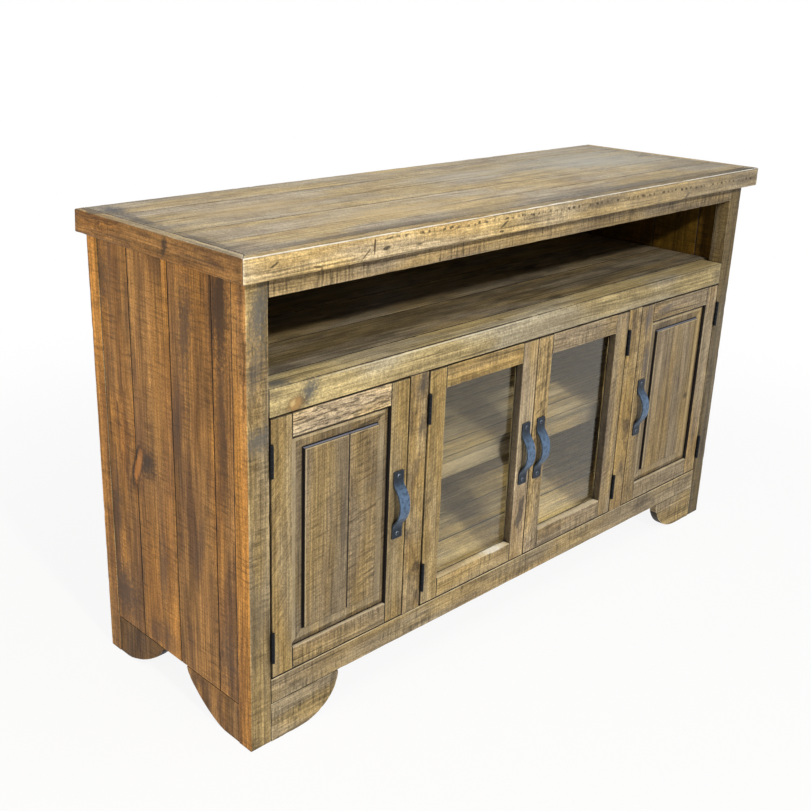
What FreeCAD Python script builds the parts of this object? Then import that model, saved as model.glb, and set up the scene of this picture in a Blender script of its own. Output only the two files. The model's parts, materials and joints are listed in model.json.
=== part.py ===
import FreeCAD, Part
import math
import os

# Rustic plank media cabinet: an open bay over two panelled doors and a pair of glazed doors.
# Millimetres. While modelling, y = 0 is the front of the face frame and z = 0 the floor.
# The finished model is moved so that its origin lies under the middle of the top.

# Heights, from the floor up
foot_height = 80.0
bottom_rail_height = 50.0
door_opening_height = 493.0
shelf_rail_height = 50.0
media_opening_height = 149.0
top_rail_height = 54.0
top_plank_thickness = 22.0

# Carcass
body_width = 1482.0
body_depth = 462.0
glass_opening_width = 644.0
post_width = 46.0
mid_stile_width = 47.0
face_depth = 36.0
shelf_rail_depth = 54.0
back_post_depth = 33.0
board_ease = 1.2

# Top
top_plank_count = 5
front_edging_thickness = 24.0
end_edging_thickness = 21.0
edging_drop = 20.0
edging_ease = 2.0

# Mortise and tenon joints of the face frame
tenon_length = 24.0
tenon_thickness = 12.0
tenon_shoulder = 8.0
stub_tenon_length = 12.0
tenon_clearance = 0.25
mortise_end_room = 1.0

# Side planks: widths from the front, the last one fills up to the back post
side_plank_widths = (55.0, 121.0, 123.0)
side_plank_thickness = 18.0
side_plank_recess = 2.0
side_tongue_thickness = 8.0
side_tongue_length = 9.0

# Back, floor and shelves; of the listed plank widths, from the front, the last plank fills up to the back
back_plank_thickness = 12.0
back_plank_count = 5
back_rabbet_width = 12.0
cable_hole_radius = 30.0
floor_plank_thickness = 18.0
floor_plank_widths = (133.0, 90.0, 90.0)
floor_step = 4.0
media_shelf_thickness = 20.0
media_shelf_count = 3
inner_shelf_rise = 256.0
inner_shelf_thickness = 18.0
inner_shelf_plank_widths = (52.0, 93.0, 93.0)
inner_shelf_setback = 65.0
shelf_lip_height = 35.0
shelf_lip_thickness = 20.0
cleat_size = 20.0
notch_clearance = 0.5

# Bracket feet
foot_thickness = 20.0
foot_flat = 63.0
foot_reach = 160.0
foot_fullness = 0.71
side_foot_flat = 40.0
side_foot_fullness = 0.32
back_foot_flat = 22.0
back_foot_reach = 155.0

# Doors
door_thickness = 24.0
door_stile_width = 46.0
door_rail_height = 43.0
hinge_gap = 3.0
closing_gap = 2.5
door_ease = 1.0

# Raised panels
groove_setback = 8.0
groove_width = 6.5
groove_depth = 9.0
groove_clearance = 0.25
panel_end_room = 2.0
panel_border = 28.0
panel_shoulder = 6.0
panel_field_setback = 1.5
panel_crest_inset = 11.0
panel_crest_rise = 2.2
panel_first_board = 102.0
panel_joint_groove = 1.5

# Glazing
glass_setback = 16.0
glass_thickness = 3.0
glass_rabbet = 9.0
glass_edge_room = 1.5
bead_bevel = 3.0
door_tenon_setback = 4.0
door_tenon_thickness = 8.0

# Strap handles
handle_length = 137.0
handle_width = 25.0
handle_strap = 3.0
handle_reach = 22.0
handle_pad = 20.0
handle_root_radius = 20.0
handle_inset = 23.0
handle_corner = 2.0
screw_shank_radius = 1.8
screw_shank_depth = 14.0
screw_head_radius = 4.5
screw_head_height = 2.0
screw_clearance = 0.15

# Butt hinges
hinge_length = 58.0
hinge_low_distance = 34.0
hinge_high_distance = 44.0
hinge_leaf_width = 20.0
hinge_leaf_thickness = 1.2
hinge_barrel_radius = 3.4
hinge_barrel_clearance = 0.5
hinge_pin_radius = 1.7
hinge_pin_clearance = 0.05
hinge_pin_head_radius = 3.0
hinge_pin_head_height = 1.6
knuckle_count = 5
knuckle_gap = 0.3

# Magnetic catches
catch_width = 36.0
catch_height = 12.0
catch_depth = 22.0
catch_gap = 0.4
catch_pole_groove = 2.0
strike_width = 30.0
strike_height = 13.0
strike_thickness = 1.0
strike_top_margin = 2.0

# Levels
z_rail = foot_height
z_opening = z_rail + bottom_rail_height
z_shelf_rail = z_opening + door_opening_height
z_media = z_shelf_rail + shelf_rail_height
z_top_rail = z_media + media_opening_height
z_planks = z_top_rail + top_rail_height
z_top = z_planks + top_plank_thickness
z_floor = z_opening - floor_step
z_floor_under = z_floor - floor_plank_thickness
z_media_under = z_media - media_shelf_thickness
z_inner_shelf = z_floor + inner_shelf_rise
z_inner_under = z_inner_shelf - inner_shelf_thickness

# Distances from the middle plane
x_body = body_width / 2
x_post = x_body - post_width
x_mid_inner = glass_opening_width / 2
x_mid_outer = x_mid_inner + mid_stile_width
x_side_outer = x_body - side_plank_recess
x_side_inner = x_side_outer - side_plank_thickness

# Distances behind the face
y_back = body_depth
y_back_post = y_back - back_post_depth
y_back_planks = y_back - back_plank_thickness
y_inner_planks = inner_shelf_setback + shelf_lip_thickness
front_reach = max(front_edging_thickness, handle_reach)
origin_y = (y_back - front_reach) / 2

# Two coordinates closer than this are taken as one
tolerance = 1e-6


def vec(x, y, z):
    return FreeCAD.Vector(x, y, z)


def block(x0, x1, y0, y1, z0, z1):
    return Part.makeBox(x1 - x0, y1 - y0, z1 - z0, vec(x0, y0, z0))


def board(x0, x1, y0, y1, z0, z1, ease=board_ease):
    """A sawn board with every arris taken off."""
    sawn = block(x0, x1, y0, y1, z0, z1)
    return sawn.makeChamfer(ease, sawn.Edges)


def mirrored(shape):
    return shape.mirror(vec(0, 0, 0), vec(1, 0, 0))


def both_sides(shape):
    return [mirrored(shape), shape]


def same(a, b):
    return abs(a - b) < tolerance


def upright(edge):
    return edge.BoundBox.ZLength > tolerance


def prism(points, along):
    outline = Part.makePolygon(points + points[:1])
    return Part.Face(outline).extrude(along)


def joined(first, *others):
    return first.fuse(list(others)).removeSplitter()


def save(node, *solids):
    group = Part.makeCompound(list(solids))
    group.translate(vec(0, -origin_y, 0))
    group.exportStep("parts/" + node + ".step")


def grown(x0, x1, y0, y1, z0, z1, room):
    """A block enlarged by the same room on every side."""
    return block(x0 - room, x1 + room, y0 - room, y1 + room, z0 - room, z1 + room)


def split_along_y(x0, x1, y0, y1, z0, z1, count):
    """Boards side by side from front to back, all of one width."""
    width = (y1 - y0) / count
    return [board(x0, x1, y0 + i * width, y0 + (i + 1) * width, z0, z1) for i in range(count)]


def plank_spans(front, widths, back):
    """Front and back of each plank in a row; the last one fills up to the back."""
    joints = [front]
    for width in widths:
        joints.append(joints[-1] + width)
    joints.append(back)
    return list(zip(joints[:-1], joints[1:]))


# Top: lengthwise planks inside a mitred edging

def make_top():
    save("top_planks", *split_along_y(-x_body, x_body, 0, y_back, z_planks, z_top, top_plank_count))
    x_out = x_body + end_edging_thickness
    y_out = -front_edging_thickness
    z_low = z_planks - edging_drop
    up = vec(0, 0, z_top - z_low)
    front_outline = [
        vec(-x_out, y_out, z_low),
        vec(x_out, y_out, z_low),
        vec(x_body, 0, z_low),
        vec(-x_body, 0, z_low),
    ]
    end_outline = [
        vec(x_out, y_out, z_low),
        vec(x_out, y_back, z_low),
        vec(x_body, y_back, z_low),
        vec(x_body, 0, z_low),
    ]
    front = prism(front_outline, up)
    outer_arrises = [e for e in front.Edges if same(e.BoundBox.YMax, y_out) and not upright(e)]
    save("top_edging_front", front.makeChamfer(edging_ease, outer_arrises))
    end = prism(end_outline, up)
    outer_arrises = [e for e in end.Edges if same(e.BoundBox.XMin, x_out) and not upright(e)]
    end = end.makeChamfer(edging_ease, outer_arrises)
    save("top_edging_right", end)
    save("top_edging_left", mirrored(end))


# Face frame: rails tenoned into corner posts, short stiles between the lower rails

tenon_y0 = (face_depth - tenon_thickness) / 2
tenon_y1 = tenon_y0 + tenon_thickness


def rail_tenon(z0, z1, room, end_room):
    """Tenon of a rail in the right post; with room it is the mortise."""
    return block(
        x_post - room, x_post + tenon_length + end_room,
        tenon_y0 - room, tenon_y1 + room,
        z0 + tenon_shoulder - room, z1 - tenon_shoulder + room,
    )


def stile_tenon(z_shoulder, upward, room, end_room):
    """Stub tenon of the right middle stile; with room it is the mortise."""
    tip = z_shoulder + upward * (stub_tenon_length + end_room)
    return block(
        x_mid_inner + tenon_shoulder - room, x_mid_outer - tenon_shoulder + room,
        tenon_y0 - room, tenon_y1 + room,
        min(tip, z_shoulder), max(tip, z_shoulder),
    )


def make_rail(node, z0, z1, depth, stile_faces):
    rail = board(-x_post, x_post, 0, depth, z0, z1)
    tenon = rail_tenon(z0, z1, 0, 0)
    rail = joined(rail, tenon, mirrored(tenon))
    for z_face, upward in stile_faces:
        mortise = stile_tenon(z_face, upward, tenon_clearance, mortise_end_room)
        rail = rail.cut(both_sides(mortise))
    save(node, rail)


def make_face_frame():
    make_rail("face_rail_top", z_top_rail, z_planks, face_depth, [])
    make_rail("face_rail_shelf", z_shelf_rail, z_media, shelf_rail_depth, [(z_shelf_rail, 1)])
    make_rail("face_rail_bottom", z_rail, z_opening, face_depth, [(z_opening, -1)])
    stile = board(x_mid_inner, x_mid_outer, 0, face_depth, z_opening, z_shelf_rail)
    stile = joined(stile, stile_tenon(z_opening, -1, 0, 0), stile_tenon(z_shelf_rail, 1, 0, 0))
    save("mid_stiles", *both_sides(stile))


# Sides: corner posts with grooves, planks with tongues in them

tongue_x0 = x_side_inner + (side_plank_thickness - side_tongue_thickness) / 2
tongue_x1 = tongue_x0 + side_tongue_thickness


def side_groove(y_face, backward):
    """Groove for the side planks in the face of a post at y_face."""
    y_deep = y_face + backward * (side_tongue_length + mortise_end_room)
    return block(
        tongue_x0 - tenon_clearance, tongue_x1 + tenon_clearance,
        min(y_face, y_deep), max(y_face, y_deep),
        z_rail, z_planks,
    )


def make_posts():
    front = board(x_post, x_body, 0, face_depth, 0, z_planks)
    front = front.cut(side_groove(face_depth, -1))
    for z0, z1 in ((z_top_rail, z_planks), (z_shelf_rail, z_media), (z_rail, z_opening)):
        front = front.cut(rail_tenon(z0, z1, tenon_clearance, mortise_end_room))
    save("front_post_right", front)
    save("front_post_left", mirrored(front))
    back = board(x_post, x_body, y_back_post, y_back, 0, z_planks)
    back = back.cut(side_groove(y_back_post, 1))
    back = back.cut(block(x_post, x_post + back_rabbet_width, y_back_planks, y_back, z_rail, z_planks))
    save("back_post_right", back)
    save("back_post_left", mirrored(back))


def make_sides():
    planks = []
    for y0, y1 in plank_spans(face_depth, side_plank_widths, y_back_post):
        planks.append(board(x_side_inner, x_side_outer, y0, y1, z_rail, z_planks))
    front_tongue = block(tongue_x0, tongue_x1, face_depth - side_tongue_length, face_depth + board_ease,
                         z_rail, z_planks)
    back_tongue = block(tongue_x0, tongue_x1, y_back_post - board_ease, y_back_post + side_tongue_length,
                        z_rail, z_planks)
    planks[0] = joined(planks[0], front_tongue)
    planks[-1] = joined(planks[-1], back_tongue)
    save("side_planks_right", *planks)
    save("side_planks_left", *[mirrored(plank) for plank in planks])


# Back of horizontal planks, the top one drilled for cables

def make_back():
    x_end = x_post + back_rabbet_width - notch_clearance
    height = (z_planks - z_rail) / back_plank_count
    planks = []
    for i in range(back_plank_count):
        z0 = z_rail + i * height
        planks.append(board(-x_end, x_end, y_back_planks, y_back, z0, z0 + height))
    z_hole = z_planks - height / 2
    hole = Part.makeCylinder(cable_hole_radius, back_plank_thickness,
                             vec(0, y_back_planks, z_hole), vec(0, 1, 0))
    save("back_planks", *planks[:-1])
    save("back_plank_cable", planks[-1].cut(hole))


# Floor and shelves, from side to side, on cleats

def notched(plank):
    """Cut a plank to fit round the back posts."""
    post = grown(x_post, x_body, y_back_post, y_back, 0, z_planks, notch_clearance)
    return plank.cut(both_sides(post))


def make_floor():
    floor = []
    for y0, y1 in plank_spans(face_depth, floor_plank_widths, y_back_planks):
        floor.append(notched(board(-x_side_inner, x_side_inner, y0, y1, z_floor_under, z_floor)))
    save("floor_planks", *floor)


def make_media_shelf():
    shelf = split_along_y(-x_side_inner, x_side_inner, shelf_rail_depth, y_back_planks,
                          z_media_under, z_media, media_shelf_count)
    save("media_shelf_planks", *[notched(plank) for plank in shelf])


def make_inner_shelf():
    """Shelf behind the doors: a deep lip in front of thinner planks."""
    shelf = [board(-x_side_inner, x_side_inner, inner_shelf_setback, y_inner_planks,
                   z_inner_shelf - shelf_lip_height, z_inner_shelf)]
    for y0, y1 in plank_spans(y_inner_planks, inner_shelf_plank_widths, y_back_planks):
        shelf.append(notched(board(-x_side_inner, x_side_inner, y0, y1, z_inner_under, z_inner_shelf)))
    save("inner_shelf", *shelf)


def make_cleats():
    """Strips under the floor and the shelves, along the sides, the front and the back."""
    x_wall = x_side_inner - cleat_size
    x_clear = x_post - notch_clearance
    y_wall = y_back_planks - cleat_size
    cleats = []
    for y_front, z_seat in ((face_depth, z_floor_under), (shelf_rail_depth, z_media_under),
                            (y_inner_planks, z_inner_under)):
        z_low = z_seat - cleat_size
        side = board(x_wall, x_side_inner, y_front, y_back_post, z_low, z_seat)
        cleats.extend(both_sides(side))
        cleats.append(board(-x_clear, x_clear, y_wall, y_back_planks, z_low, z_seat))
        cleats.append(board(-x_clear, x_clear, y_front, y_front + cleat_size, z_low, z_seat))
    save("carcass_cleats", *cleats)


# Bracket feet: a flat sole and a rounded scroll, which is flatter and starts earlier on the back feet

def scroll_foot(corner, outward, inward, flat, reach, fullness):
    """Foot in the upright plane from corner along outward, thick along inward."""
    up = vec(0, 0, foot_height)
    sole_end = corner + outward * flat
    tip = corner + outward * reach
    scroll = Part.BezierCurve()
    scroll.setPoles([sole_end, tip, tip + up])
    scroll.setWeight(2, fullness)
    edges = [
        Part.makeLine(corner, sole_end),
        scroll.toShape(),
        Part.makeLine(tip + up, corner + up),
        Part.makeLine(corner + up, corner),
    ]
    return Part.Face(Part.Wire(edges)).extrude(inward * foot_thickness)


def make_feet():
    scroll = (foot_flat, foot_reach, foot_fullness)
    side_scroll = (side_foot_flat, foot_reach, side_foot_fullness)
    back_scroll = (back_foot_flat, back_foot_reach, side_foot_fullness)
    front = scroll_foot(vec(x_post, 0, 0), vec(-1, 0, 0), vec(0, 1, 0), *scroll)
    save("front_feet", *both_sides(front))
    side_front = scroll_foot(vec(x_side_outer, face_depth, 0), vec(0, 1, 0), vec(-1, 0, 0), *side_scroll)
    side_back = scroll_foot(vec(x_side_outer, y_back_post, 0), vec(0, -1, 0), vec(-1, 0, 0), *back_scroll)
    save("side_feet", *both_sides(side_front), *both_sides(side_back))


# Butt hinges: two leaves in the gap, knuckles proud of the face, one loose pin

hinge_axis_y = -(hinge_barrel_radius + hinge_barrel_clearance)
hinge_bore_radius = hinge_pin_radius + hinge_pin_clearance


def hinge_leaf(x0, x1, x_axis, z_low, first_knuckle):
    """Leaf between x0 and x1 with every second knuckle, from first_knuckle on."""
    pitch = hinge_length / knuckle_count
    leaf = block(x0, x1, hinge_barrel_clearance, hinge_leaf_width, z_low, z_low + hinge_length)
    pieces = []
    for i in range(first_knuckle, knuckle_count, 2):
        z0 = z_low + i * pitch + knuckle_gap / 2
        length = pitch - knuckle_gap
        pieces.append(Part.makeCylinder(hinge_barrel_radius, length, vec(x_axis, hinge_axis_y, z0)))
        pieces.append(block(x0, x1, hinge_axis_y, hinge_barrel_clearance, z0, z0 + length))
    bore = Part.makeCylinder(hinge_bore_radius, hinge_length, vec(x_axis, hinge_axis_y, z_low))
    return joined(leaf, *pieces).cut(bore)


def hinge_pin(x_axis, z_low):
    stem = Part.makeCylinder(hinge_pin_radius, hinge_length, vec(x_axis, hinge_axis_y, z_low))
    head = Part.makeCylinder(hinge_pin_head_radius, hinge_pin_head_height,
                             vec(x_axis, hinge_axis_y, z_low + hinge_length))
    return joined(stem, head)


# Doors. Each is modelled hung on its left; the right-hand ones are mirror images.

door_z0 = z_opening + closing_gap
door_z1 = z_shelf_rail - closing_gap
door_middle = (door_z0 + door_z1) / 2
rail_z0 = door_z0 + door_rail_height
rail_z1 = door_z1 - door_rail_height
hinge_levels = (door_z0 + hinge_low_distance, door_z1 - hinge_high_distance - hinge_length)


def door_frame(x0, x1):
    """Stiles and rails before their joints are cut: hinge side, handle side, bottom, top."""
    inner0 = x0 + door_stile_width
    inner1 = x1 - door_stile_width
    return [
        board(x0, inner0, 0, door_thickness, door_z0, door_z1, door_ease),
        board(inner1, x1, 0, door_thickness, door_z0, door_z1, door_ease),
        board(inner0, inner1, 0, door_thickness, door_z0, rail_z0, door_ease),
        board(inner0, inner1, 0, door_thickness, rail_z1, door_z1, door_ease),
    ]


def grooved_frame(x0, x1):
    """Frame of a panelled door: stub tenons of the rails sit in the panel groove."""
    inner0 = x0 + door_stile_width
    inner1 = x1 - door_stile_width
    y0 = groove_setback
    y1 = y0 + groove_width
    hinge_stile, handle_stile, bottom, top = door_frame(x0, x1)
    hinge_stile = hinge_stile.cut(block(inner0 - groove_depth, inner0, y0, y1, door_z0, door_z1))
    handle_stile = handle_stile.cut(block(inner1, inner1 + groove_depth, y0, y1, door_z0, door_z1))
    bottom = bottom.cut(block(inner0, inner1, y0, y1, rail_z0 - groove_depth, rail_z0))
    top = top.cut(block(inner0, inner1, y0, y1, rail_z1, rail_z1 + groove_depth))
    reach = groove_depth - mortise_end_room
    ty0 = y0 + groove_clearance
    ty1 = y1 - groove_clearance
    rails = []
    for rail, z0, z1 in ((bottom, door_z0 + door_ease, rail_z0 - groove_depth),
                         (top, rail_z1 + groove_depth, door_z1 - door_ease)):
        left = block(inner0 - reach, inner0 + door_ease, ty0, ty1, z0, z1)
        right = block(inner1 - door_ease, inner1 + reach, ty0, ty1, z0, z1)
        rails.append(joined(rail, left, right))
    return hinge_stile, handle_stile, rails


def raised_panel(x0, x1):
    """Two edge-joined boards: a tongue all round, a crested border and a raised field."""
    inner0 = x0 + door_stile_width
    inner1 = x1 - door_stile_width
    tongue = groove_depth - panel_end_room
    y_tongue = groove_setback + groove_clearance
    y_rear = groove_setback + groove_width - groove_clearance
    y_shoulder = panel_field_setback + panel_shoulder
    field_x0 = inner0 + panel_border
    field_x1 = inner1 - panel_border
    field_z0 = rail_z0 + panel_border
    field_z1 = rail_z1 - panel_border

    def rectangle(ax, bx, az, bz, y):
        corners = [vec(ax, y, az), vec(bx, y, az), vec(bx, y, bz), vec(ax, y, bz)]
        return Part.makePolygon(corners + corners[:1])

    plate = block(inner0 - tongue, inner1 + tongue, y_tongue, y_rear, rail_z0 - tongue, rail_z1 + tongue)
    border_foot = rectangle(inner0, inner1, rail_z0, rail_z1, y_tongue)
    border_crest = rectangle(inner0 + panel_crest_inset, inner1 - panel_crest_inset,
                             rail_z0 + panel_crest_inset, rail_z1 - panel_crest_inset,
                             y_tongue - panel_crest_rise)
    border_head = rectangle(field_x0, field_x1, field_z0, field_z1, y_shoulder)
    border = Part.makeLoft([border_foot, border_crest, border_head], True, True)
    field = block(field_x0, field_x1, panel_field_setback, y_shoulder, field_z0, field_z1)
    front_arrises = [e for e in field.Edges if same(e.BoundBox.YMax, panel_field_setback)]
    field = field.makeChamfer(door_ease, front_arrises)
    panel = joined(plate, border, field)
    x_joint = field_x0 + panel_first_board
    v_groove = prism(
        [
            vec(x_joint - panel_joint_groove, panel_field_setback, 0),
            vec(x_joint, panel_field_setback + panel_joint_groove, 0),
            vec(x_joint + panel_joint_groove, panel_field_setback, 0),
        ],
        vec(0, 0, z_top),
    )
    panel = panel.cut(v_groove)
    first = panel.common(block(x0, x_joint, 0, door_thickness, 0, z_top))
    second = panel.common(block(x_joint, x1, 0, door_thickness, 0, z_top))
    return [first, second]


def glazed_frame(x0, x1):
    """Frame of a glazed door: tenoned corners and a rabbet for the glass in the back."""
    inner0 = x0 + door_stile_width
    inner1 = x1 - door_stile_width
    y0 = door_tenon_setback
    y1 = y0 + door_tenon_thickness
    rabbet = block(inner0 - glass_rabbet, inner1 + glass_rabbet, glass_setback, door_thickness,
                   rail_z0 - glass_rabbet, rail_z1 + glass_rabbet)
    hinge_stile, handle_stile, bottom, top = door_frame(x0, x1)
    rails = []
    for rail, z0, z1 in ((bottom, door_z0, rail_z0), (top, rail_z1, door_z1)):
        tz0 = z0 + tenon_shoulder
        tz1 = z1 - tenon_shoulder
        left = (inner0 - tenon_length, inner0 + door_ease, y0, y1, tz0, tz1)
        right = (inner1 - door_ease, inner1 + tenon_length, y0, y1, tz0, tz1)
        rails.append(joined(rail, block(*left), block(*right)).cut(rabbet))
        hinge_stile = hinge_stile.cut(grown(*left, tenon_clearance))
        handle_stile = handle_stile.cut(grown(*right, tenon_clearance))
    return hinge_stile.cut(rabbet), handle_stile.cut(rabbet), rails


def glass_pane(x0, x1):
    edge = door_stile_width - glass_rabbet + glass_edge_room
    z_edge = door_rail_height - glass_rabbet + glass_edge_room
    return block(x0 + edge, x1 - edge, glass_setback, glass_setback + glass_thickness,
                 door_z0 + z_edge, door_z1 - z_edge)


def glass_beads(x0, x1):
    """Four mitred strips that hold the glass from behind."""
    y0 = glass_setback + glass_thickness
    y1 = door_thickness
    section = [
        (0, y0),
        (glass_rabbet, y0),
        (glass_rabbet, y1),
        (bead_bevel, y1),
        (0, y1 - bead_bevel),
    ]
    corners = [
        (x0 + door_stile_width, rail_z0, -1, -1),
        (x1 - door_stile_width, rail_z0, 1, -1),
        (x1 - door_stile_width, rail_z1, 1, 1),
        (x0 + door_stile_width, rail_z1, -1, 1),
    ]
    ends = []
    for x, z, out_x, out_z in corners:
        points = [vec(x + out_x * t, y, z + out_z * t) for t, y in section]
        ends.append(Part.makePolygon(points + points[:1]))
    return [Part.makeLoft([ends[i], ends[(i + 1) % 4]], True, True) for i in range(4)]


def strap_handle(x_centre):
    """A flat strap: two pads on the door and a bow between them, all in tangent arcs."""
    half_span = handle_length / 2 - handle_pad
    rise = handle_reach - handle_strap
    turn = 2 * math.atan(rise / half_span)
    bow_radius = half_span / math.sin(turn) - handle_root_radius
    z_root = half_span
    x_side = x_centre - handle_width / 2

    def arc_points(centre_z, centre_y, radius, start, end):
        angles = (start, (start + end) / 2, end)
        return [vec(x_side, centre_y - radius * math.cos(a), door_middle + centre_z + radius * math.sin(a))
                for a in angles]

    def strap_face(offset):
        """Arcs of one face of the strap, offset in front of the door, from the low end up."""
        root_y = -handle_root_radius
        bow_y = bow_radius - rise
        low_root = arc_points(-z_root, root_y, -(handle_root_radius - offset), 0, -turn)
        bow = arc_points(0, bow_y, bow_radius + offset, -turn, turn)
        high_root = arc_points(z_root, root_y, -(handle_root_radius - offset), turn, 0)
        return [low_root, bow, high_root]

    half = handle_length / 2
    back = strap_face(0)
    front = strap_face(handle_strap)
    low_back = vec(x_side, 0, door_middle - half)
    high_back = vec(x_side, 0, door_middle + half)
    low_front = low_back + vec(0, -handle_strap, 0)
    high_front = high_back + vec(0, -handle_strap, 0)

    def run(first, arcs, last):
        edges = [Part.makeLine(first, arcs[0][0])]
        edges.extend(Part.Arc(*points).toShape() for points in arcs)
        edges.append(Part.makeLine(arcs[-1][2], last))
        return edges

    outline = run(low_back, back, high_back)
    outline.append(Part.makeLine(high_back, high_front))
    outline.extend(run(low_front, front, high_front))
    outline.append(Part.makeLine(low_front, low_back))
    wire = Part.Wire(Part.__sortEdges__(outline))
    strap = Part.Face(wire).extrude(vec(handle_width, 0, 0))
    corners = [e for e in strap.Edges
               if same(e.BoundBox.XLength, 0) and same(abs(e.CenterOfMass.z - door_middle), half)]
    strap = strap.makeFillet(handle_corner, corners)
    for z in screw_levels:
        hole = Part.makeCylinder(screw_shank_radius + screw_clearance, handle_strap,
                                 vec(x_centre, -handle_strap, z), vec(0, 1, 0))
        strap = strap.cut(hole)
    return strap


screw_levels = (
    door_middle - handle_length / 2 + handle_pad / 2,
    door_middle + handle_length / 2 - handle_pad / 2,
)


def screw_hole(x_centre, z):
    return Part.makeCylinder(screw_shank_radius + screw_clearance, screw_shank_depth + mortise_end_room,
                             vec(x_centre, 0, z), vec(0, 1, 0))


def round_head_screw(x_centre, z):
    """Domed head on the strap, shank through it into the stile."""
    y_seat = -handle_strap
    crown = (screw_head_radius ** 2 + screw_head_height ** 2) / (2 * screw_head_height)
    half_angle = math.asin(screw_head_radius / crown) / 2
    top = vec(x_centre, y_seat - screw_head_height, z)
    flank = vec(x_centre + crown * math.sin(half_angle),
                y_seat - screw_head_height + crown * (1 - math.cos(half_angle)), z)
    rim = vec(x_centre + screw_head_radius, y_seat, z)
    neck = vec(x_centre + screw_shank_radius, y_seat, z)
    tip_edge = vec(x_centre + screw_shank_radius, screw_shank_depth, z)
    tip = vec(x_centre, screw_shank_depth, z)
    edges = [
        Part.Arc(top, flank, rim).toShape(),
        Part.makeLine(rim, neck),
        Part.makeLine(neck, tip_edge),
        Part.makeLine(tip_edge, tip),
        Part.makeLine(tip, top),
    ]
    return Part.Face(Part.Wire(edges)).revolve(vec(x_centre, 0, z), vec(0, 1, 0), 360)


def strike_plate(x_centre):
    z1 = door_z1 - strike_top_margin
    return block(x_centre - strike_width / 2, x_centre + strike_width / 2,
                 door_thickness, door_thickness + strike_thickness, z1 - strike_height, z1)


def magnetic_catch(x_centre):
    """Catch under the shelf rail, with a groove between its two poles."""
    y0 = door_thickness + strike_thickness + catch_gap
    x0 = x_centre - catch_width / 2
    x1 = x_centre + catch_width / 2
    z0 = z_shelf_rail - catch_height
    body = board(x0, x1, y0, y0 + catch_depth, z0, z_shelf_rail, door_ease)
    z_pole = (z0 + z_shelf_rail) / 2
    return body.cut(block(x0, x1, y0, y0 + catch_pole_groove,
                          z_pole - catch_pole_groove / 2, z_pole + catch_pole_groove / 2))


def make_door(name, opening_x0, x1, glazed):
    """One left-hung door and its mirror image; returns its share of the fixed hardware."""
    x0 = opening_x0 + hinge_gap
    x_axis = opening_x0 + hinge_gap / 2
    x_handle = x1 - handle_inset
    if glazed:
        hinge_stile, handle_stile, rails = glazed_frame(x0, x1)
        infill = {"glass": [glass_pane(x0, x1)], "glass_beads": glass_beads(x0, x1)}
    else:
        hinge_stile, handle_stile, rails = grooved_frame(x0, x1)
        infill = {"panel": raised_panel(x0, x1)}
    for z in screw_levels:
        handle_stile = handle_stile.cut(screw_hole(x_handle, z))
    hinges = []
    fixed_leaves = []
    for z in hinge_levels:
        hinges.append(hinge_leaf(x0 - hinge_leaf_thickness, x0, x_axis, z, 1))
        hinges.append(hinge_pin(x_axis, z))
        fixed_leaves.append(hinge_leaf(opening_x0, opening_x0 + hinge_leaf_thickness, x_axis, z, 0))
    pieces = {
        "hinge_stile": [hinge_stile],
        "handle_stile": [handle_stile],
        "rails": rails,
        "handle": [strap_handle(x_handle)],
        "handle_screws": [round_head_screw(x_handle, z) for z in screw_levels],
        "hinges": hinges,
        "strike": [strike_plate(x_handle)],
    }
    pieces.update(infill)
    for piece, solids in pieces.items():
        save("left_" + name + "_" + piece, *solids)
        save("right_" + name + "_" + piece, *[mirrored(solid) for solid in solids])
    return fixed_leaves, magnetic_catch(x_handle)


def make_doors():
    panel_leaves, panel_catch = make_door("door", -x_post, -x_mid_outer - closing_gap, False)
    glass_leaves, glass_catch = make_door("glass_door", -x_mid_inner, -closing_gap / 2, True)
    leaves = []
    for leaf in panel_leaves + glass_leaves:
        leaves.extend(both_sides(leaf))
    save("frame_hinge_leaves", *leaves)
    save("magnetic_catches", *both_sides(panel_catch), *both_sides(glass_catch))


os.makedirs("parts", exist_ok=True)
make_top()
make_face_frame()
make_posts()
make_sides()
make_back()
make_floor()
make_media_shelf()
make_inner_shelf()
make_cleats()
make_feet()
make_doors()
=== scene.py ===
import json
import math

import bmesh
import bpy
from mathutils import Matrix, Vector, noise


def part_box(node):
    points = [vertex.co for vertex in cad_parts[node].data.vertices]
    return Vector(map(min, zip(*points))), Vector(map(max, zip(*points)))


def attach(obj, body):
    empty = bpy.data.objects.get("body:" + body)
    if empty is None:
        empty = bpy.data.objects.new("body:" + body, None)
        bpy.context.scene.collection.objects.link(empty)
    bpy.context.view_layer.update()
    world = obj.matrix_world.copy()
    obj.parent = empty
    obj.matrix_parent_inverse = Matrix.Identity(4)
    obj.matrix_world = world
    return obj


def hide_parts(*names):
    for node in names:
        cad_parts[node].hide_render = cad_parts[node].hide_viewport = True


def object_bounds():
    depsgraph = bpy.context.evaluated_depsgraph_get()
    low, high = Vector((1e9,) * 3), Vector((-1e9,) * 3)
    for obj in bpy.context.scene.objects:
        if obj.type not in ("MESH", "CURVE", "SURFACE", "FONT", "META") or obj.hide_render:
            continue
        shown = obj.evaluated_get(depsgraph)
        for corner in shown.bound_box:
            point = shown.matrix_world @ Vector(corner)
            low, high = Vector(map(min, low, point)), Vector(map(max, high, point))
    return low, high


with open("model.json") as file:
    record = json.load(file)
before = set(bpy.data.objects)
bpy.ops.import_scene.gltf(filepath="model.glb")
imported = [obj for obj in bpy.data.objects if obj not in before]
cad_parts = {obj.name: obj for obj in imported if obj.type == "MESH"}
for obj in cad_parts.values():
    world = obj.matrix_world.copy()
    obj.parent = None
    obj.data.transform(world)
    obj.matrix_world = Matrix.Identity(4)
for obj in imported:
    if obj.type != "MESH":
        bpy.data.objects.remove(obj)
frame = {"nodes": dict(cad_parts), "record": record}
cad_low, cad_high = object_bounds()
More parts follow.
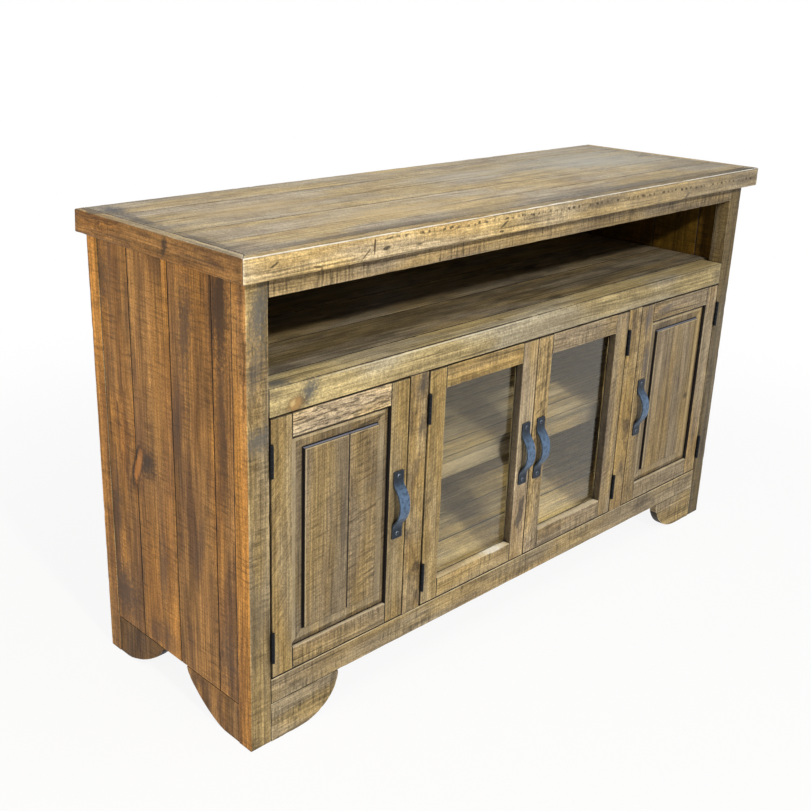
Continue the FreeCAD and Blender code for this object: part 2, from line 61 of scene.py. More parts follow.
cad_nodes = frame["nodes"]
slot_of = {row["node"]: row["material_slot"] for row in frame["record"]["subparts"]}
body_of = {node: body for body, nodes in frame["record"]["behaviour"]["bodies"].items() for node in nodes}


# Short calls that add nodes to a shader tree, link them and set their values

class Bench:
    """Adds nodes to one shader tree. A value that is a socket is linked, any other is set."""

    def __init__(self, tree):
        self.tree = tree

    def add(self, kind, inputs=(), **settings):
        made = self.tree.nodes.new("ShaderNode" + kind)
        for name, value in settings.items():
            setattr(made, name, value)
        self.fill(made, dict(inputs))
        return made

    def fill(self, node, inputs):
        for name, value in inputs.items():
            self.put(node.inputs[name], value)

    def put(self, socket, value):
        if isinstance(value, bpy.types.NodeSocket):
            self.tree.links.new(value, socket)
        else:
            socket.default_value = value

    def math(self, operation, *values):
        return self.add("Math", enumerate(values), operation=operation).outputs[0]

    def vector(self, operation, a, b):
        return self.add("VectorMath", {0: a, 1: b}, operation=operation).outputs[0]

    def length(self, value):
        return self.add("VectorMath", {0: value}, operation="LENGTH").outputs[1]

    def times(self, value, x, y, z):
        return self.vector("MULTIPLY", value, (x, y, z))

    def shaded(self, colour, level):
        """A colour times one level in all its channels."""
        levels = self.add("CombineXYZ", {0: level, 1: level, 2: level}).outputs[0]
        return self.vector("MULTIPLY", colour, levels)

    def noise(self, where, detail, rough):
        values = {"Vector": where, "Scale": 1.0, "Detail": detail, "Roughness": rough}
        return self.add("TexNoise", values).outputs[0]

    def closeness(self, reach, **settings):
        """How much of the view from a point other surfaces shut off within a reach."""
        free = self.add("AmbientOcclusion", {"Distance": reach}, samples=6, **settings).outputs[1]
        return self.math("SUBTRACT", 1.0, free)

    def spot(self):
        """The point of the surface in the part's own frame."""
        return self.add("TexCoord").outputs["Object"]

    def ramp(self, value, low, high, to_low=0.0, to_high=1.0):
        values = {0: value, 1: low, 2: high, 3: to_low, 4: to_high}
        return self.add("MapRange", values, interpolation_type="SMOOTHSTEP").outputs[0]

    def mix(self, share, a, b):
        return self.add("Mix", data_type="RGBA", inputs={0: share, 6: a, 7: b}).outputs[2]


def new_group(name, inputs, outputs):
    """A node group with named sockets: its tree, its bench, its inputs by name and its output node."""
    tree = bpy.data.node_groups.new(name, "ShaderNodeTree")
    for label, kind, start in inputs:
        socket = tree.interface.new_socket(label, in_out="INPUT", socket_type="NodeSocket" + kind)
        if start is not None:
            socket.default_value = start
    for label, kind in outputs:
        tree.interface.new_socket(label, in_out="OUTPUT", socket_type="NodeSocket" + kind)
    bench = Bench(tree)
    given = tree.nodes.new("NodeGroupInput").outputs
    result = tree.nodes.new("NodeGroupOutput")
    return tree, bench, given, result


def place(bench, group, inputs):
    """Put a node group into a material with its own values: the group's outputs by name."""
    made = bench.add("Group", node_tree=group)
    bench.fill(made, inputs)
    return made.outputs


# Rough-sawn stained pine

def make_sawn_grain():
    """Grain that runs along x of the grain coordinates, with stain, saw marks, flakes and knots."""
    tree, b, given, result = new_group(
        "sawn_grain",
        [
            ("Grain", "Vector", None),
            ("Tone", "Float", 0.5),
            ("Stain", "Float", 0.5),
            ("Saw", "Float", 0.5),
            ("Flakes", "Float", 0.0),
            ("Pale", "Color", None),
            ("Middle", "Color", None),
            ("Deep", "Color", None),
            ("Slant", "Float", 0.0),
            ("Short", "Float", 1.0),
            ("Streaks", "Float", 1.0),
        ],
        [("Color", "Color"), ("Roughness", "Float"), ("Height", "Float")],
    )
    grain = given["Grain"]

    def at(x, yz, shift=0.0, source=grain):
        scaled = b.vector("MULTIPLY", source, (x, yz, yz))
        return b.vector("ADD", scaled, (shift, shift, shift)) if shift else scaled

    def sway(x, yz, shift, reach):
        moved = b.add("TexNoise", {"Vector": at(x, yz, shift), "Scale": 1.0, "Detail": 2.0}).outputs[1]
        return b.vector("MULTIPLY", b.vector("SUBTRACT", moved, (0.5, 0.5, 0.5)), reach)

    bend = sway(1.7, 8.0, 0.0, (0.0, 0.016, 0.016))
    uneven = sway(22.0, 60.0, 2.3, (0.30, 0.30, 0.30))
    cells = b.add("TexVoronoi", {"Vector": b.vector("ADD", at(3.1, 9.5, 4.7), uneven), "Scale": 1.0},
                  voronoi_dimensions="3D")
    chosen = b.math("GREATER_THAN", b.add("SeparateColor", {0: cells.outputs[1]}).outputs[0], 0.66)
    near_knot = b.math("MULTIPLY", chosen, b.ramp(cells.outputs[0], 0.42, 0.05))
    knot = b.math("MULTIPLY", chosen, b.ramp(cells.outputs[0], 0.135, 0.085))
    push = b.math("MULTIPLY", near_knot, 0.012)
    bent = b.vector("ADD", b.vector("ADD", grain, bend), b.add("CombineXYZ", {1: push, 2: push}).outputs[0])

    patches = b.vector("MULTIPLY", bent, b.add("CombineXYZ", {0: given["Short"], 1: 1.0, 2: 1.0}).outputs[0])
    clouds = b.noise(at(4.5, 20.0, 9.1, patches), 3.0, 0.6)
    smudges = b.noise(at(15.0, 52.0, 3.7, patches), 4.0, 0.68)
    body = b.math("MULTIPLY", b.math("ADD", clouds, smudges), 0.5)
    colour = b.mix(b.ramp(body, 0.36, 0.62), given["Middle"], given["Pale"])
    blots = b.noise(at(7.5, 23.0, 47.3, patches), 5.0, 0.66)
    stain = b.math("MULTIPLY", b.ramp(blots, 0.50, 0.68), given["Stain"])
    colour = b.mix(b.math("MULTIPLY", stain, 0.75), colour, given["Deep"])
    warmth = b.ramp(b.noise(at(3.0, 15.0, 31.7, patches), 2.0, 0.5), 0.38, 0.62)
    colour = b.vector("MULTIPLY", colour, b.mix(warmth, (0.95, 0.99, 1.12, 1.0), (1.06, 1.0, 0.80, 1.0)))

    fine = b.noise(at(5.0, 300.0, source=bent), 3.0, 0.6)
    middle = b.noise(at(1.6, 62.0, source=bent), 3.0, 0.55)
    grit = b.noise(at(290.0, 330.0, 1.9), 2.0, 0.7)
    threads = b.ramp(b.noise(at(3.2, 165.0, 5.3, bent), 2.0, 0.55), 0.57, 0.68)
    level = b.math("MULTIPLY_ADD", given["Tone"], 0.6, 0.70)
    streaks = b.math("MULTIPLY", b.ramp(middle, 0.3, 0.7, 0.80, 1.20), b.ramp(fine, 0.32, 0.68, 0.70, 1.24))
    level = b.math("MULTIPLY", level, b.math("POWER", streaks, given["Streaks"]))
    level = b.math("MULTIPLY", level, b.ramp(grit, 0.32, 0.68, 0.72, 1.24))

    parts = b.add("SeparateXYZ", {0: grain}).outputs
    along = b.math("MULTIPLY_ADD", parts[1], given["Slant"], parts[0])
    teeth = b.add("CombineXYZ", {0: b.math("MULTIPLY", along, 200.0), 1: b.math("MULTIPLY", parts[1], 17.0),
                                 2: b.math("MULTIPLY", parts[2], 17.0)}).outputs[0]
    hatch = b.noise(teeth, 3.0, 0.7)
    struck = b.ramp(b.noise(at(9.0, 24.0, 21.3), 3.0, 0.6), 0.40, 0.60, 0.30, 1.0)
    bite = b.math("MULTIPLY", struck, given["Saw"])
    saw = b.math("MULTIPLY", bite, b.ramp(hatch, 0.47, 0.64))
    ridge = b.math("MULTIPLY", bite, b.ramp(hatch, 0.48, 0.34))

    flecks = b.ramp(b.noise(at(42.0, 280.0, source=bent), 2.0, 0.55), 0.40, 0.52)
    flaked = b.math("MULTIPLY_ADD", flecks, 0.80, -0.64)
    for share, change in ((threads, -0.42), (saw, -0.60), (ridge, 0.22), (given["Flakes"], flaked)):
        level = b.math("MULTIPLY", level, b.math("MULTIPLY_ADD", share, change, 1.0))
    colour = b.shaded(colour, level)

    rings = b.math("MULTIPLY_ADD", b.math("SINE", b.math("MULTIPLY", cells.outputs[0], 170.0)), 0.22, 0.62)
    colour = b.mix(b.math("MULTIPLY", knot, 0.85), colour, b.shaded(given["Deep"], rings))
    halo = b.math("SUBTRACT", near_knot, knot)
    colour = b.mix(b.math("MULTIPLY", halo, 0.35), colour, b.times(colour, 0.85, 0.66, 0.48))

    rough = b.math("MULTIPLY_ADD", fine, -0.25, 0.68)
    rough = b.math("ADD", rough, b.math("MULTIPLY", stain, 0.10))
    height = b.math("MULTIPLY_ADD", fine, 0.35, b.math("MULTIPLY", middle, 0.4))
    height = b.math("MULTIPLY_ADD", grit, 0.25, height)
    height = b.math("SUBTRACT", height, b.math("MULTIPLY", saw, 0.55))
    height = b.math("ADD", height, b.math("MULTIPLY", flecks, b.math("MULTIPLY", given["Flakes"], 0.8)))
    b.fill(result, {"Color": colour, "Roughness": rough, "Height": height})
    return tree


black_glaze = (0.012, 0.010, 0.010, 1.0)
# Blue-grey on glaze that lies flat: a painted reflection of the sky.
glaze_painted_sky_reflection = (0.170, 0.178, 0.225, 1.0)


def make_wear_glaze_and_painted_shade():
    """Rubbed pale arrises with painted highlights, and black glaze with painted shade in corners and in the
    gaps between parts.
    """
    tree, b, given, result = new_group(
        "wear_glaze_and_painted_shade",
        [
            ("Color", "Color", None),
            ("Grain", "Vector", None),
            ("Wear", "Float", 0.5),
            ("Glaze", "Float", 0.5),
            ("Painted", "Float", 0.0),
            ("Bare", "Color", None),
        ],
        [("Color", "Color")],
    )
    patchy = b.noise(b.times(given["Grain"], 24.0, 60.0, 60.0), 3.0, 0.6)
    rub = b.ramp(b.closeness(0.003, inside=True, only_local=True), 0.12, 0.42)
    rub = b.math("MULTIPLY", rub, b.ramp(patchy, 0.34, 0.62))
    rub = b.math("MULTIPLY", rub, given["Wear"])
    # Painted below 0: pale, rubbed bare, and on the panel's lit arrises and slopes a painted highlight.
    bared = b.math("MULTIPLY", given["Painted"], b.ramp(patchy, 0.30, 0.60, -0.55, -1.0))
    rub = b.math("MAXIMUM", rub, bared)
    colour = b.mix(rub, given["Color"], given["Bare"])
    # Black where other surfaces close in, in corners and gaps between parts: glaze pooled there, and painted
    # shade.
    corner_glaze_and_painted_shade = b.ramp(b.closeness(0.011), 0.28, 0.72)
    colour = b.mix(b.math("MULTIPLY", corner_glaze_and_painted_shade, given["Glaze"]), colour, black_glaze)
    # Flat-lying glaze gets the painted sky reflection instead of black.
    lying = b.add("SeparateXYZ", {0: b.add("NewGeometry").outputs["Normal"]}).outputs[2]
    glaze = b.mix(b.ramp(lying, 0.90, 0.97), black_glaze, glaze_painted_sky_reflection)
    # Painted above 0: black glaze, which on reveals, panel shoulders and shaded slopes is painted shade.
    covered = b.math("MAXIMUM", given["Painted"], 0.0)
    covered = b.math("MULTIPLY", covered, b.ramp(patchy, 0.10, 0.45, 0.75, 1.0))
    b.fill(result, {"Color": b.mix(covered, colour, glaze)})
    return tree


def make_dent_mark():
    """The mask of one dent, scar or knot: a ragged ellipsoid about a point of the board."""
    tree, b, given, result = new_group(
        "dent_mark",
        [
            ("Where", "Vector", None),
            ("Middle", "Vector", None),
            ("Turn", "Vector", None),
            ("Reach", "Vector", None),
            ("Soft", "Float", 0.5),
            ("Ragged", "Float", 1.0),
        ],
        [("Mask", "Float")],
    )
    apart = b.vector("SUBTRACT", given["Where"], given["Middle"])
    turned = b.add("VectorRotate", {"Vector": apart, "Rotation": given["Turn"]}, rotation_type="EULER_XYZ")
    far = b.length(b.vector("DIVIDE", turned.outputs[0], given["Reach"]))
    ragged = b.noise(b.times(given["Where"], 170.0, 170.0, 170.0), 3.0, 0.65)
    far = b.math("MULTIPLY_ADD", b.math("SUBTRACT", ragged, 0.5), given["Ragged"], far)
    rim = 1.05
    b.fill(result, {"Mask": b.ramp(far, rim, b.math("SUBTRACT", rim, given["Soft"]))})
    return tree


sawn_grain = make_sawn_grain()
dent_mark = make_dent_mark()
wear_glaze_and_painted_shade = make_wear_glaze_and_painted_shade()


def new_material(name):
    """A material with an empty bench, its Principled surface and its output."""
    material = bpy.data.materials.new(name)
    material.use_nodes = True
    tree = material.node_tree
    tree.nodes.clear()
    bench = Bench(tree)
    surface = bench.add("BsdfPrincipled")
    out = tree.nodes.new("ShaderNodeOutputMaterial")
    tree.links.new(surface.outputs[0], out.inputs[0])
    return material, bench, surface, out


def saw_nicks(b, where):
    """The row of small dark nicks that a blade left along the front edging, under its upper arris."""
    parts = b.add("SeparateXYZ", {0: where}).outputs
    along = b.add("CombineXYZ", {0: parts[0]}).outputs[0]
    drift = b.noise(b.times(along, 21.0, 0.0, 0.0), 2.0, 0.5)
    step = b.math("FRACT", b.math("MULTIPLY_ADD", parts[0], 54.0, b.math("MULTIPLY", drift, 2.4)))
    nick = b.ramp(b.math("ABSOLUTE", b.math("SUBTRACT", step, 0.5)), 0.30, 0.16)
    hop = b.noise(b.times(along, 74.0, 0.0, 0.0), 2.0, 0.5)
    row = b.math("MULTIPLY_ADD", parts[0], -0.0110, b.math("MULTIPLY_ADD", drift, 0.010, 0.8755))
    row = b.math("MULTIPLY_ADD", hop, 0.008, row)
    off_row = b.math("ABSOLUTE", b.math("SUBTRACT", parts[2], row))
    nick = b.math("MULTIPLY", nick, b.ramp(off_row, 0.0032, 0.0016))
    kept = b.ramp(b.noise(b.times(along, 31.0, 0.0, 0.0), 4.0, 0.7), 0.40, 0.54)
    nick = b.math("MULTIPLY", nick, b.math("MULTIPLY", kept, b.ramp(parts[0], -0.46, -0.42)))
    return b.math("MULTIPLY", nick, 0.85)


nick_colour = (0.035, 0.024, 0.014, 1.0)
raggedness = 1.7


def stained_pine(name, colours, wear, glaze, slant=0.0, marks=(), nicked=False, short=1.0, streaks=1.0):
    """A wood finish. Each board brings its own grain run, tone, stain, saw marks and flakes."""
    pale, middle, deep, bare = colours
    material, b, surface, _ = new_material(name)
    grain = b.add("Attribute", attribute_name="grain").outputs[1]
    finish = b.add("Attribute", attribute_name="finish")
    shares = b.add("SeparateColor", {0: finish.outputs[0]}).outputs
    painted = b.add("Attribute", attribute_name="painted").outputs[2]
    wood = place(b, sawn_grain, {
        "Grain": grain, "Tone": shares[0], "Stain": shares[1], "Saw": shares[2], "Flakes": finish.outputs[3],
        "Pale": (*pale, 1.0), "Middle": (*middle, 1.0), "Deep": (*deep, 1.0), "Slant": slant,
        "Short": short, "Streaks": streaks,
    })
    worn = place(b, wear_glaze_and_painted_shade, {
        "Color": wood["Color"], "Grain": grain, "Wear": wear, "Glaze": glaze, "Painted": painted,
        "Bare": (*bare, 1.0),
    })
    colour = worn["Color"]
    where = b.spot()
    for middle_point, tilt, reach, shade, depth, soft in marks:
        turn = [math.radians(angle) for angle in tilt]
        mark = place(b, dent_mark, {"Where": where, "Middle": middle_point, "Turn": turn, "Reach": reach,
                                    "Soft": soft, "Ragged": raggedness * soft})
        colour = b.mix(b.math("MULTIPLY", mark["Mask"], depth), colour, (*shade, 1.0))
    if nicked:
        colour = b.mix(saw_nicks(b, where), colour, nick_colour)
    bump = b.add("Bump", {"Strength": 0.8, "Distance": 0.0007, "Height": wood["Height"]})
    b.fill(surface, {"Base Color": colour, "Roughness": wood["Roughness"], "Normal": bump.outputs[0],
                     "Specular IOR Level": 0.2})
    return material


# Stains: the pale, middle and deep colour of the wood, and the colour where it is rubbed bare
top_stain = ((0.47, 0.378, 0.240), (0.33, 0.250, 0.150), (0.15, 0.112, 0.078), (0.62, 0.55, 0.40))
edging_stain = ((0.56, 0.43, 0.24), (0.37, 0.272, 0.142), (0.15, 0.105, 0.065), (0.80, 0.77, 0.70))
frame_stain = ((0.42, 0.32, 0.175), (0.26, 0.19, 0.102), (0.10, 0.078, 0.056), (0.66, 0.56, 0.38))
# The amber and the side foot colours paint a warm side light into the side boards' colour.
amber_with_painted_warm_light = ((0.45, 0.226, 0.062), (0.175, 0.083, 0.029), (0.070, 0.046, 0.033), (0.50, 0.30, 0.12))
shelf_rail_stain = ((0.40, 0.335, 0.205), (0.27, 0.218, 0.130), (0.10, 0.081, 0.060), (0.60, 0.51, 0.36))
mid_stile_stain = ((0.46, 0.33, 0.155), (0.29, 0.195, 0.090), (0.080, 0.058, 0.050), (0.66, 0.54, 0.34))
side_foot_with_painted_warm_light = ((0.45, 0.240, 0.076), (0.175, 0.089, 0.036), (0.075, 0.048, 0.033), (0.50, 0.32, 0.15))
door_stain = ((0.43, 0.315, 0.15), (0.26, 0.18, 0.082), (0.10, 0.072, 0.045), (0.64, 0.52, 0.32))
cool_door_stain = ((0.42, 0.318, 0.180), (0.25, 0.180, 0.100), (0.10, 0.076, 0.058), (0.64, 0.54, 0.38))
panel_stain = ((0.37, 0.275, 0.15), (0.24, 0.172, 0.095), (0.11, 0.08, 0.052), (0.52, 0.42, 0.26))
inner_stain = ((0.29, 0.22, 0.115), (0.15, 0.110, 0.058), (0.05, 0.036, 0.022), (0.34, 0.28, 0.17))
media_stain = ((0.29, 0.230, 0.140), (0.145, 0.114, 0.070), (0.045, 0.036, 0.026), (0.34, 0.28, 0.18))
wall_stain = ((0.126, 0.067, 0.0060), (0.073, 0.038, 0.0036), (0.034, 0.018, 0.0024), (0.20, 0.12, 0.04))

# How each kind of board is rubbed and glazed, and how its grain and saw marks run
top_run = {"wear": 0.4, "glaze": 0.8, "short": 1.3, "streaks": 0.8}
frame_run = {"wear": 0.8, "glaze": 0.95}
side_run = {"wear": 0.3, "glaze": 0.95}
plank_run = {**side_run, "short": 0.45}
door_run = {**frame_run, "slant": -0.4}
panel_run = {"wear": 0.6, "glaze": 0.95, "slant": -0.15}
inner_run = {"wear": 0.3, "glaze": 0.8}

slot_woods = {
    "edging_wood": stained_pine("edging_wood", edging_stain, wear=1.0, glaze=0.8),
    "frame_wood": stained_pine("frame_wood", frame_stain, **frame_run),
    "side_wood": stained_pine("side_wood", amber_with_painted_warm_light, **plank_run),
    "door_wood": stained_pine("door_wood", door_stain, **door_run),
    "inner_wood": stained_pine("inner_wood", inner_stain, **inner_run),
}
wall_wood = stained_pine("inner_wall_wood", wall_stain, **inner_run, streaks=0.5)
cool_door_wood = stained_pine("cool_door_wood", cool_door_stain, **door_run)

# Scars: middle, tilt in degrees, half sizes, colour, depth and softness of the rim
black_scar = (0.022, 0.016, 0.012)
brown_scar = (0.085, 0.052, 0.026)
blue_smudge = (0.085, 0.088, 0.088)
grey_smudge = (0.095, 0.075, 0.055)
umber_smudge = (0.075, 0.048, 0.033)
dark_smudge = (0.055, 0.048, 0.042)
slate_smudge = (0.105, 0.095, 0.100)
slate_scar = (0.045, 0.035, 0.035)
front_edging_scars = [
    ((-0.703, -0.243, 0.8795), (0, 25, 0), (0.012, 0.006, 0.0022), black_scar, 0.8, 0.5),
    ((-0.615, -0.243, 0.8640), (0, -10, 0), (0.012, 0.006, 0.0025), brown_scar, 0.8, 0.5),
    ((-0.607, -0.243, 0.8570), (0, 80, 0), (0.008, 0.006, 0.0030), brown_scar, 0.7, 0.5),
    ((-0.493, -0.243, 0.8800), (0, 86, 0), (0.017, 0.006, 0.0030), brown_scar, 0.95, 0.5),
    ((-0.512, -0.243, 0.8690), (0, 40, 0), (0.016, 0.006, 0.0018), brown_scar, 0.8, 0.5),
    ((-0.465, -0.243, 0.8740), (0, 10, 0), (0.011, 0.006, 0.0040), black_scar, 0.85, 0.5),
    ((-0.459, -0.243, 0.8895), (0, 5, 0), (0.012, 0.006, 0.0025), black_scar, 0.7, 0.5),
    ((-0.387, -0.243, 0.8700), (0, 0, 0), (0.008, 0.006, 0.0022), black_scar, 0.7, 0.5),
    ((-0.165, -0.243, 0.8765), (0, 30, 0), (0.016, 0.006, 0.0030), black_scar, 0.8, 0.5),
    ((-0.172, -0.243, 0.8640), (0, 0, 0), (0.008, 0.006, 0.0025), black_scar, 0.8, 0.5),
    ((0.150, -0.243, 0.8830), (0, 4, 0), (0.100, 0.006, 0.0140), grey_smudge, 0.7, 0.95),
    ((0.455, -0.243, 0.8640), (0, 35, 0), (0.012, 0.006, 0.0040), black_scar, 0.8, 0.5),
    ((0.690, -0.243, 0.8780), (0, 0, 0), (0.080, 0.006, 0.0220), grey_smudge, 0.6, 0.95),
    ((0.420, -0.243, 0.8770), (0, 0, 0), (0.360, 0.008, 0.0400), (0.300, 0.255, 0.190), 0.35, 0.95),
]
left_edging_scars = [
    ((-0.762, -0.039, 0.8840), (82, 0, 0), (0.006, 0.015, 0.0100), black_scar, 0.8, 0.7),
    ((-0.762, -0.036, 0.8700), (82, 0, 0), (0.006, 0.009, 0.0070), black_scar, 0.6, 0.7),
    ((-0.762, -0.140, 0.8760), (0, 0, 0), (0.006, 0.070, 0.0018), brown_scar, 0.7, 0.5),
    ((-0.762, 0.120, 0.8700), (0, 0, 0), (0.006, 0.080, 0.0018), brown_scar, 0.6, 0.5),
]
left_side_scars_and_shade = [
    ((-0.739, 0.080, 0.4560), (-35, 0, 0), (0.012, 0.036, 0.0420), (0.038, 0.026, 0.020), 0.9, 0.95),
    ((-0.739, 0.113, 0.4400), (72, 0, 0), (0.012, 0.058, 0.0165), (0.028, 0.016, 0.009), 0.9, 0.4),
    ((-0.739, 0.110, 0.4420), (72, 0, 0), (0.012, 0.048, 0.0115), (0.45, 0.195, 0.055), 0.90, 0.6),
    ((-0.739, 0.205, 0.7800), (86, 0, 0), (0.012, 0.090, 0.0300), umber_smudge, 0.8, 0.95),
    ((-0.739, 0.195, 0.6100), (86, 0, 0), (0.012, 0.110, 0.0260), umber_smudge, 0.6, 0.95),
    ((-0.739, -0.055, 0.7500), (86, 0, 0), (0.012, 0.120, 0.0300), umber_smudge, 0.8, 0.95),
    ((-0.739, -0.020, 0.5600), (84, 0, 0), (0.012, 0.120, 0.0220), umber_smudge, 0.5, 0.95),
    ((-0.739, -0.150, 0.8000), (89, 0, 0), (0.012, 0.130, 0.0360), (0.050, 0.026, 0.012), 0.9, 0.8),
    ((-0.739, -0.148, 0.6000), (89, 0, 0), (0.012, 0.200, 0.0260), (0.075, 0.040, 0.020), 0.75, 0.9),
    # A black line on the plank beside the post: dark glaze and painted shade in the gap.
    ((-0.739, -0.1815, 0.4900), (0, 0, 0), (0.008, 0.0022, 0.600), black_scar, 0.95, 0.3),
    ((-0.739, 0.180, 0.1500), (0, 0, 0), (0.012, 0.070, 0.1000), umber_smudge, 0.85, 0.95),
    ((-0.739, 0.050, 0.1100), (0, 0, 0), (0.012, 0.080, 0.0500), umber_smudge, 0.60, 0.95),
    ((-0.739, 0.190, 0.3300), (88, 0, 0), (0.012, 0.170, 0.0240), umber_smudge, 0.6, 0.95),
    ((-0.739, 0.040, 0.2500), (86, 0, 0), (0.012, 0.090, 0.0240), umber_smudge, 0.6, 0.95),
    ((-0.739, -0.080, 0.3500), (80, 0, 0), (0.012, 0.110, 0.0200), umber_smudge, 0.5, 0.95),
    ((-0.739, -0.150, 0.1700), (88, 0, 0), (0.012, 0.100, 0.0300), umber_smudge, 0.7, 0.95),
]
shelf_rail_scars = [
    ((-0.610, -0.219, 0.6510), (0, 50, 0), (0.034, 0.008, 0.0230), blue_smudge, 0.9, 0.95),
    ((-0.639, -0.219, 0.6340), (0, 15, 0), (0.027, 0.008, 0.0190), (0.120, 0.075, 0.036), 0.80, 0.6),
    ((-0.641, -0.219, 0.6350), (0, 15, 0), (0.019, 0.008, 0.0135), (0.360, 0.215, 0.080), 0.90, 0.7),
    # The pale spot at the knot's upper left is a painted highlight.
    ((-0.646, -0.219, 0.6380), (0, 30, 0), (0.010, 0.008, 0.0065), (0.560, 0.410, 0.190), 0.85, 0.8),
    ((-0.668, -0.203, 0.6730), (0, 0, 8), (0.042, 0.026, 0.0040), blue_smudge, 0.85, 0.95),
    ((-0.690, -0.219, 0.6600), (0, 0, 0), (0.030, 0.008, 0.0120), grey_smudge, 0.5, 0.95),
    ((-0.100, -0.195, 0.6730), (0, 0, 0), (0.010, 0.006, 0.0040), brown_scar, 0.7, 0.6),
    ((0.680, -0.219, 0.6480), (0, 80, 0), (0.024, 0.008, 0.0300), grey_smudge, 0.6, 0.95),
    ((0.060, -0.219, 0.6450), (0, 0, 0), (0.240, 0.008, 0.0300), (0.200, 0.155, 0.090), 0.55, 0.95),
    ((-0.300, -0.220, 0.6688), (0, 0, 0), (0.360, 0.004, 0.0015), (0.66, 0.60, 0.46), 0.60, 0.4),
    ((-0.300, -0.220, 0.6720), (0, 0, 0), (0.480, 0.004, 0.0015), black_scar, 0.95, 0.3),
    ((0.350, -0.220, 0.6720), (0, 0, 0), (0.320, 0.004, 0.0012), black_scar, 0.70, 0.3),
]
left_post_scars = [
    ((-0.719, -0.219, 0.5900), (0, 20, 0), (0.042, 0.008, 0.0320), blue_smudge, 0.75, 0.95),
    ((-0.722, -0.219, 0.7100), (0, 75, 0), (0.080, 0.008, 0.0260), blue_smudge, 0.5, 0.95),
    ((-0.715, -0.219, 0.8000), (0, 80, 0), (0.080, 0.008, 0.0260), blue_smudge, 0.8, 0.95),
    ((-0.720, -0.219, 0.2600), (0, 86, 0), (0.090, 0.008, 0.0160), grey_smudge, 0.45, 0.95),
]
left_panel_scars = [
    ((-0.470, -0.215, 0.4570), (0, 12, 0), (0.050, 0.008, 0.0026), brown_scar, 0.65, 0.6),
    ((-0.455, -0.215, 0.4440), (0, 12, 0), (0.046, 0.008, 0.0150), grey_smudge, 0.55, 0.95),
    ((-0.468, -0.215, 0.3900), (0, 14, 0), (0.050, 0.008, 0.0030), brown_scar, 0.65, 0.6),
    ((-0.465, -0.215, 0.3040), (0, 10, 0), (0.046, 0.008, 0.0026), brown_scar, 0.60, 0.6),
    ((-0.527, -0.215, 0.3900), (0, 88, 0), (0.180, 0.008, 0.0120), grey_smudge, 0.75, 0.95),
]
right_panel_scars = [
    ((0.605, -0.215, 0.3560), (0, 10, 0), (0.014, 0.008, 0.0100), (0.04, 0.03, 0.022), 0.75, 0.7),
]
mid_stile_scars = [
    ((-0.338, -0.219, 0.6000), (0, 80, 0), (0.032, 0.008, 0.0160), dark_smudge, 0.8, 0.9),
    ((-0.336, -0.219, 0.5200), (0, 80, 0), (0.030, 0.008, 0.0120), dark_smudge, 0.7, 0.9),
    ((-0.345, -0.219, 0.4400), (0, 80, 0), (0.040, 0.008, 0.0120), grey_smudge, 0.5, 0.95),
]
top_scars = [
    ((-0.716, 0.185, 0.898), (0, 0, 10), (0.030, 0.060, 0.006), (0.050, 0.052, 0.062), 0.85, 0.95),
    ((-0.727, 0.080, 0.898), (0, 0, 4), (0.018, 0.110, 0.006), (0.055, 0.050, 0.050), 0.75, 0.95),
    ((-0.735, -0.110, 0.898), (0, 0, 0), (0.014, 0.120, 0.006), (0.055, 0.046, 0.040), 0.65, 0.95),
    ((-0.450, -0.210, 0.898), (0, 0, 0), (0.360, 0.018, 0.006), (0.090, 0.068, 0.045), 0.65, 0.95),
    ((0.260, -0.208, 0.898), (0, 0, 0), (0.480, 0.028, 0.006), (0.085, 0.078, 0.070), 0.70, 0.95),
    ((0.640, -0.100, 0.898), (0, 0, 0), (0.160, 0.110, 0.006), (0.120, 0.108, 0.092), 0.55, 0.95),
    ((0.520, 0.060, 0.898), (0, 0, 0), (0.340, 0.190, 0.006), (0.42, 0.410, 0.370), 0.60, 0.95),
    ((0.120, 0.090, 0.898), (0, 0, 0), (0.260, 0.110, 0.006), (0.43, 0.395, 0.320), 0.40, 0.95),
    ((-0.480, 0.060, 0.898), (0, 0, 0), (0.220, 0.070, 0.006), (0.50, 0.365, 0.185), 0.50, 0.95),
    ((-0.330, -0.110, 0.898), (0, 0, 0), (0.260, 0.070, 0.006), (0.52, 0.385, 0.190), 0.50, 0.95),
]
shelf_seams_and_painted_shade = [
    ((0.0, 0.0115, 0.382), (0, 0, 0), (0.80, 0.0022, 0.006), black_scar, 0.80, 0.35),
    ((0.0, -0.0815, 0.382), (0, 0, 0), (0.80, 0.0022, 0.006), black_scar, 0.80, 0.35),
    # The two soft dark patches after the seams are painted shade: on the right part of the lip, and on the
    # shelf where the key light falls through the right pane.
    ((0.340, -0.154, 0.365), (0, 0, 0), (0.150, 0.012, 0.030), (0.105, 0.083, 0.055), 0.85, 0.8),
    ((0.400, -0.095, 0.382), (0, 0, 0), (0.120, 0.060, 0.006), (0.150, 0.115, 0.070), 0.55, 0.9),
]
floor_seams = [
    ((0.0, 0.040, 0.126), (0, 0, 0), (0.80, 0.0022, 0.006), black_scar, 0.75, 0.35),
    ((0.0, -0.050, 0.126), (0, 0, 0), (0.80, 0.0026, 0.006), black_scar, 0.85, 0.35),
]
right_rail_scars = [
    ((0.540, -0.219, 0.5890), (0, -2, 0), (0.120, 0.008, 0.0018), slate_scar, 0.75, 0.6),
    ((0.500, -0.219, 0.5790), (0, 0, 0), (0.080, 0.008, 0.0022), slate_scar, 0.70, 0.6),
    ((0.470, -0.219, 0.6000), (0, 10, 0), (0.050, 0.008, 0.0140), (0.090, 0.080, 0.082), 0.60, 0.95),
]
